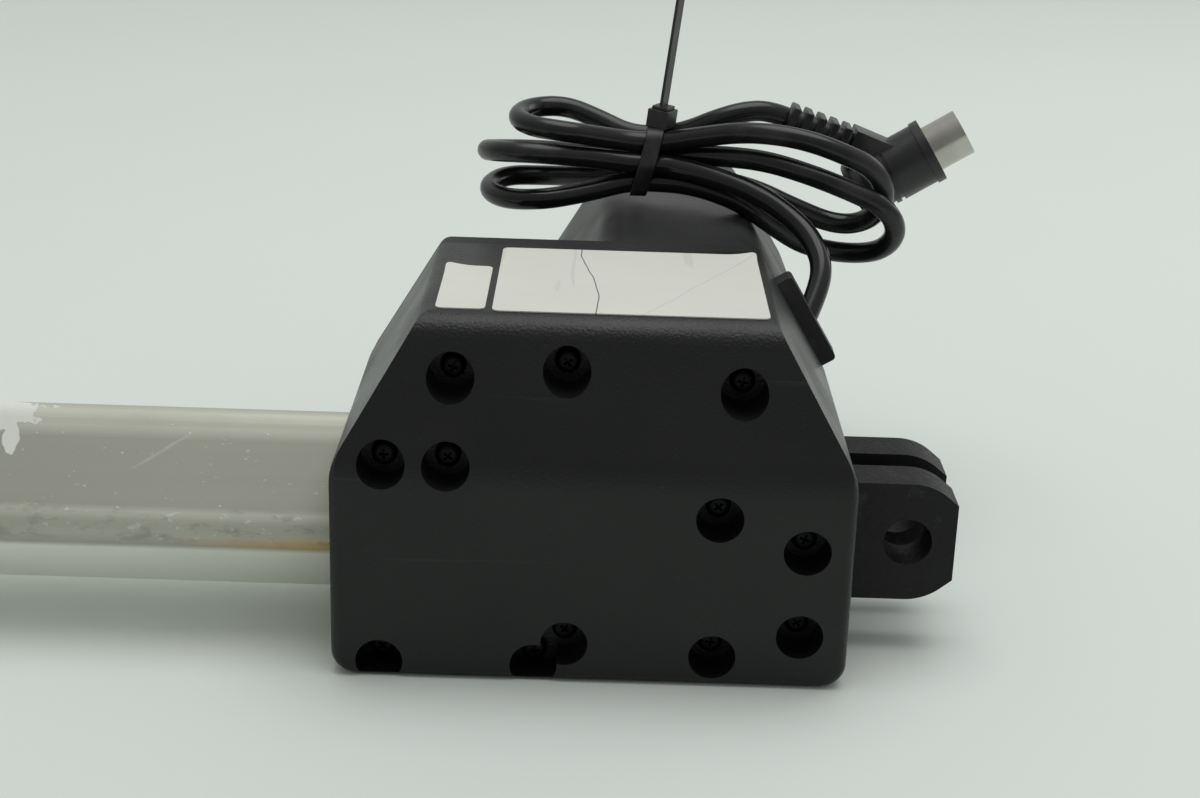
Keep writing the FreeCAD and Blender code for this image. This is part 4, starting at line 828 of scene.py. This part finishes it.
class ACTUATOR_OT_labels(bpy.types.Operator):
    """Two bare label plates with round corners on the housing's top"""
    bl_idname = "actuator.labels"
    bl_label = "Labels"

    def execute(self, context):
        white = film("bare_film", tuple(context.scene.actuator_finishes.label))
        for node, lifted, trim in (("rating_label", (1, 1), LABEL_GAP), ("serial_label", (-1, 1), 0.0)):
            mesh = self.plate(node, lifted, trim)
            piece = built(node + "_fine", mesh, white)
            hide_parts(node)
        return {"FINISHED"}

    @staticmethod
    def plate(node, lifted, trim, radius=0.0020, reach=0.0060, rise=0.0011, steps=6):
        """The CAD label with round corners, trimmed at the left, with one corner a little off the housing."""
        points = [vertex.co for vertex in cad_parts[node].data.vertices]
        low = [min(point[axis] for point in points) for axis in range(3)]
        high = [max(point[axis] for point in points) for axis in range(3)]
        low[0] += trim
        corners = [Vector((x, y)) for x, y in ((low[0], low[1]), (high[0], low[1]), (high[0], high[1]),
                                               (low[0], high[1]))]
        outline = []
        for number, corner in enumerate(corners):
            before = corner + (corners[number - 1] - corner).normalized() * radius
            after = corner + (corners[(number + 1) % 4] - corner).normalized() * radius
            for step in range(steps + 1):
                share = step / steps
                outline.append(before.lerp(corner, share).lerp(corner.lerp(after, share), share))
        mesh = bmesh.new()
        add_rings(mesh, [[Vector((spot.x, spot.y, z)) for spot in outline] for z in (low[2], high[2])])
        tip = Vector((high[0] if lifted[0] > 0 else low[0], high[1] if lifted[1] > 0 else low[1], 0.0))
        inward = Vector((-lifted[0], -lifted[1], 0.0)).normalized()
        for cut in range(1, steps + 1):
            bmesh.ops.bisect_plane(mesh, geom=mesh.verts[:] + mesh.edges[:] + mesh.faces[:],
                                   plane_co=tip + inward * reach * cut / steps, plane_no=inward)
        for vertex in mesh.verts:
            left = 1.0 - (vertex.co - tip).dot(inward) / reach
            if left > 0.0:
                vertex.co.z += rise * left ** 2
        bmesh.ops.recalc_face_normals(mesh, faces=mesh.faces)
        return mesh


class ACTUATOR_OT_forks(bpy.types.Operator):
    """Finishes of both forks"""
    bl_idname = "actuator.forks"
    bl_label = "Forks"

    def execute(self, context):
        black = coating("black_coating", tuple(context.scene.actuator_finishes.fork))
        dress(black, "rear_clevis", "rod_clevis")
        return {"FINISHED"}


class ACTUATOR_OT_tubes(bpy.types.Operator):
    """Finishes of the guide tube, the push tube and their end pieces"""
    bl_idname = "actuator.tubes"
    bl_label = "Tubes"

    def execute(self, context):
        looks = context.scene.actuator_finishes
        dress(guide_alloy("satin_extrusion", tuple(looks.tube)), "guide_tube")
        dress(metal("anodised_tube", tuple(looks.push), 0.3, (0.03, 1.0, 1.0)), "push_tube")
        dress(moulding("cap_moulding", tuple(looks.housing), 0.48), "tube_end_cap")
        dress(soft_black("wiper_rubber", (0.02, 0.02, 0.02), 0.7), "rod_wiper")
        dress(metal("rivet_steel", (0.5, 0.5, 0.51), 0.35), "clevis_rivet", "nut_pins")
        return {"FINISHED"}


class ACTUATOR_OT_drive(bpy.types.Operator):
    """Finishes of the motor, the gear, the spindle and the switches"""
    bl_idname = "actuator.drive"
    bl_label = "Drive"

    def execute(self, context):
        dress(metal("die_cast", (0.6, 0.6, 0.61), 0.45, grain=700.0), "bearing_block", "motor_flange",
              "tube_clamp")
        dress(plain_plastic("dark_inner_plastic", (0.08, 0.08, 0.085)), "tube_inner_plug", "guide_bush",
              "brush_holder")
        dress(metal("ground_steel", (0.68, 0.68, 0.69), 0.18), "bearing_outer_ring", "bearing_inner_ring",
              "bearing_balls")
        dress(metal("turned_steel", (0.5, 0.5, 0.51), 0.3, (1.0, 0.1, 0.1)), "spindle", "spindle_circlip",
              "spindle_end_ring", "armature_shaft", "motor_screws")
        dress(plain_plastic("natural_acetal", (0.72, 0.70, 0.62)), "worm_wheel", "spindle_nut")
        dress(circuit("switch_board", (0.03, 0.16, 0.08)), "switch_strip")
        dress(plain_plastic("switch_case", (0.03, 0.03, 0.035)), "limit_switches")
        dress(metal("plated_can", (0.45, 0.45, 0.46), 0.32, (1.0, 0.1, 1.0)), "motor_can")
        dress(metal("ferrite", (0.09, 0.09, 0.10), 0.6), "motor_magnets")
        dress(soft_black("carbon_block", (0.03, 0.03, 0.03), 0.6), "carbon_brushes")
        dress(metal("sintered_bronze", (0.55, 0.38, 0.20), 0.45), "motor_rear_bush", "worm_bush")
        dress(metal("sheet_stack", (0.30, 0.30, 0.32), 0.4, (0.1, 8.0, 0.1)), "rotor_core")
        dress(windings("copper_wire", (0.60, 0.28, 0.12)), "rotor_windings")
        dress(metal("copper_bars", (0.62, 0.34, 0.20), 0.3), "commutator")
        return {"FINISHED"}


class ACTUATOR_OT_tie(bpy.types.Operator):
    """Strap, head and upright tail of the cable tie"""
    bl_idname = "actuator.tie"
    bl_label = "Cable tie"

    def execute(self, context):
        sizes = context.scene.actuator_cable
        nylon = soft_black("tie_nylon", (0.014, 0.014, 0.014), 0.42)
        mesh = bmesh.new()
        hold = sizes.diameter / 2 + TIE_CLEARANCE
        half = sizes.tie_width / 2
        inner = self.hoop(hold)
        outer = self.hoop(hold + sizes.tie_thick)
        x = TIE_PLACE * MM
        middle = FRONT_MIDDLE[1] * MM
        loops = []
        for ring, side in ((inner, -half), (outer, -half), (outer, half), (inner, half)):
            loops.append([Vector((x + side + TIE_LEAN * (z - middle), y, z)) for y, z in ring])
        rows = add_rings(mesh, loops, closed_ends=False)
        for number in range(len(rows[0])):
            after = (number + 1) % len(rows[0])
            mesh.faces.new((rows[3][number], rows[3][after], rows[0][after], rows[0][number]))
        self.head_and_tail(mesh, sizes, max(z for y, z in outer))
        bmesh.ops.recalc_face_normals(mesh, faces=mesh.faces)
        tie = built("cable_tie_fine", mesh, nylon)
        soften(tie, TIE_ROUND)
        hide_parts("cable_tie")
        return {"FINISHED"}

    @staticmethod
    def hoop(reach, count=72):
        """The tight line round the six strands, at a distance from their centres."""
        slots = [Vector(slot) * MM for slot in (FRONT_TOP, FRONT_MIDDLE, FRONT_LOW,
                                                BACK_TOP, BACK_MIDDLE, BACK_LOW)]
        ring = []
        for step in range(count):
            way = Vector((math.cos(step * math.tau / count), math.sin(step * math.tau / count)))
            ring.append(max(slots, key=way.dot) + way * reach)
        return ring

    @staticmethod
    def head_and_tail(mesh, sizes, top):
        """The locking head on the strap, and the tail that stands out of it with its teeth."""
        lean = math.radians(UPRIGHT_LEAN)
        place = Matrix.Translation((TIE_PLACE * MM + LOCK_SHIFT, LOCK_Y, top - LOCK_SINK))
        place = place @ Matrix.Rotation(lean, 4, "Y") @ Matrix.Rotation(math.radians(UPRIGHT_TURN), 4, "Z")
        add_box(mesh, (-LOCK_HALF[0], -LOCK_HALF[1], 0.0), (*LOCK_HALF, LOCK_TALL), place)
        add_box(mesh, (-LIP_HALF[0], -LIP_HALF[1], LOCK_TALL), (*LIP_HALF, LIP_TOP), place)
        tall = (sizes.tie_top - top) / math.cos(lean)
        half = sizes.tie_width / 2
        add_box(mesh, (-half, -UPRIGHT_HALF, UPRIGHT_START), (half, UPRIGHT_HALF, tall), place)
        wide = half * TOOTH_WIDTH_SHARE
        for number in range(int((tall - TOOTH_MARGIN) / TOOTH_PITCH)):
            low = TOOTH_START + number * TOOTH_PITCH
            add_box(mesh, (-wide, TOOTH_FOOT, low),
                    (wide, TOOTH_TOP, low + TOOTH_PITCH * TOOTH_LENGTH_SHARE), place)


class ACTUATOR_OT_plug(bpy.types.Operator):
    """Ribbed boot of the plug, and the finishes of its body, shell and contacts"""
    bl_idname = "actuator.plug"
    bl_label = "Plug"

    def execute(self, context):
        looks = context.scene.actuator_finishes
        black = soft_black("plug_moulding", tuple(looks.plug), 0.34)
        dress(black, "plug_body")
        boot = built("plug_boot_fine", self.boot(context.scene.actuator_cable), black)
        soften(boot, BOOT_ROUND)
        smooth(boot)
        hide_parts("plug_boot")
        dress(metal("nickel_shell", (0.50, 0.485, 0.44), 0.13, grain=300.0), "plug_shell")
        dress(metal("contact_brass", (0.80, 0.62, 0.30), 0.25), "plug_pins")
        return {"FINISHED"}

    @staticmethod
    def boot(sizes, count=24):
        """A round core with square ribs that grow towards the plug."""
        place = Matrix.Translation(Vector(BOOT_START) * MM)
        place = place @ Matrix.Rotation(math.radians(BOOT_DIP), 4, "Y")
        radius = sizes.boot_core / 2
        mesh = bmesh.new()
        add_rings(mesh, [[place @ Vector((along, radius * math.cos(step * math.tau / count),
                                          radius * math.sin(step * math.tau / count)))
                          for step in range(count)] for along in (0.0, sizes.boot_long)])
        pitch = sizes.boot_long / sizes.rib_count
        for number in range(sizes.rib_count):
            grown = FIRST_RIB_SHARE + (1.0 - FIRST_RIB_SHARE) * number / (sizes.rib_count - 1)
            half = sizes.boot_rib / 2 * grown
            start = number * pitch + pitch * RIB_GAP_SHARE
            add_box(mesh, (start, -half, -half), (start + pitch * RIB_LENGTH_SHARE, half, half), place)
        bmesh.ops.recalc_face_normals(mesh, faces=mesh.faces)
        return mesh


class ACTUATOR_OT_cable(bpy.types.Operator):
    """The cable from the inlet, through the tie, to the plug"""
    bl_idname = "actuator.cable"
    bl_label = "Cable"

    def execute(self, context):
        sizes = context.scene.actuator_cable
        curve = bpy.data.curves.new("cable", "CURVE")
        curve.dimensions = "3D"
        spline = curve.splines.new("NURBS")
        route = self.route()
        spline.points.add(len(route) - 1)
        for point, place in zip(spline.points, route):
            point.co = (*(Vector(place) * MM), 1.0)
        spline.order_u = 3
        spline.use_endpoint_u = True
        spline.resolution_u = 8
        curve.bevel_depth = sizes.diameter / 2
        curve.bevel_resolution = 6
        curve.use_fill_caps = True
        curve.materials.append(sheath("cable_sheath", tuple(context.scene.actuator_finishes.cable)))
        cable = bpy.data.objects.new("cable", curve)
        context.scene.collection.objects.link(cable)
        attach(cable, BODY)
        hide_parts("cable_lead", "cable_hank", "cable_tail")
        return {"FINISHED"}

    @staticmethod
    def route():
        """The cable's points in order. It goes left through the tie's front and comes back behind."""
        left = -1
        right = 1

        def through(slot, way):
            """Two points that carry the cable straight through the tie."""
            return [(TIE_PLACE - way * TIE_HOLD, *slot), (TIE_PLACE + way * TIE_HOLD, *slot)]

        return (LEAD + through(FRONT_MIDDLE, left) + LEFT_MIDDLE + through(BACK_MIDDLE, right) + RIGHT_LOW
                + through(FRONT_LOW, left) + LEFT_LOW + through(BACK_LOW, right) + RIGHT_TOP
                + through(FRONT_TOP, left) + LEFT_TOP + through(BACK_TOP, right) + TAIL)


class ACTUATOR_PT_panel(bpy.types.Panel):
    """The actuator's pieces"""
    bl_idname = "ACTUATOR_PT_panel"
    bl_label = "Bed actuator"
    bl_space_type = "VIEW_3D"
    bl_region_type = "UI"
    bl_category = "Actuator"

    def draw(self, context):
        for operator in OPERATORS:
            self.layout.operator(operator.bl_idname)


GROUPS = {
    "actuator_stage": ActuatorStage,
    "actuator_finishes": ActuatorFinishes,
    "actuator_cable": ActuatorCable,
    "actuator_fasteners": ActuatorFasteners,
}
OPERATORS = (
    ACTUATOR_OT_housing,
    ACTUATOR_OT_screws,
    ACTUATOR_OT_labels,
    ACTUATOR_OT_forks,
    ACTUATOR_OT_tubes,
    ACTUATOR_OT_drive,
    ACTUATOR_OT_tie,
    ACTUATOR_OT_plug,
    ACTUATOR_OT_cable,
    ACTUATOR_OT_stage,
)


def register():
    for name, group in GROUPS.items():
        bpy.utils.register_class(group)
        setattr(bpy.types.Scene, name, PointerProperty(type=group))
    for operator in OPERATORS:
        bpy.utils.register_class(operator)
    bpy.utils.register_class(ACTUATOR_PT_panel)


def unregister():
    bpy.utils.unregister_class(ACTUATOR_PT_panel)
    for operator in reversed(OPERATORS):
        bpy.utils.unregister_class(operator)
    for name, group in GROUPS.items():
        delattr(bpy.types.Scene, name)
        bpy.utils.unregister_class(group)


def main():
    register()
    bpy.ops.actuator.housing()
    bpy.ops.actuator.screws()
    bpy.ops.actuator.labels()
    bpy.ops.actuator.forks()
    bpy.ops.actuator.tubes()
    bpy.ops.actuator.drive()
    bpy.ops.actuator.tie()
    bpy.ops.actuator.plug()
    bpy.ops.actuator.cable()
    bpy.ops.actuator.stage()


if __name__ == "__main__":
    main()
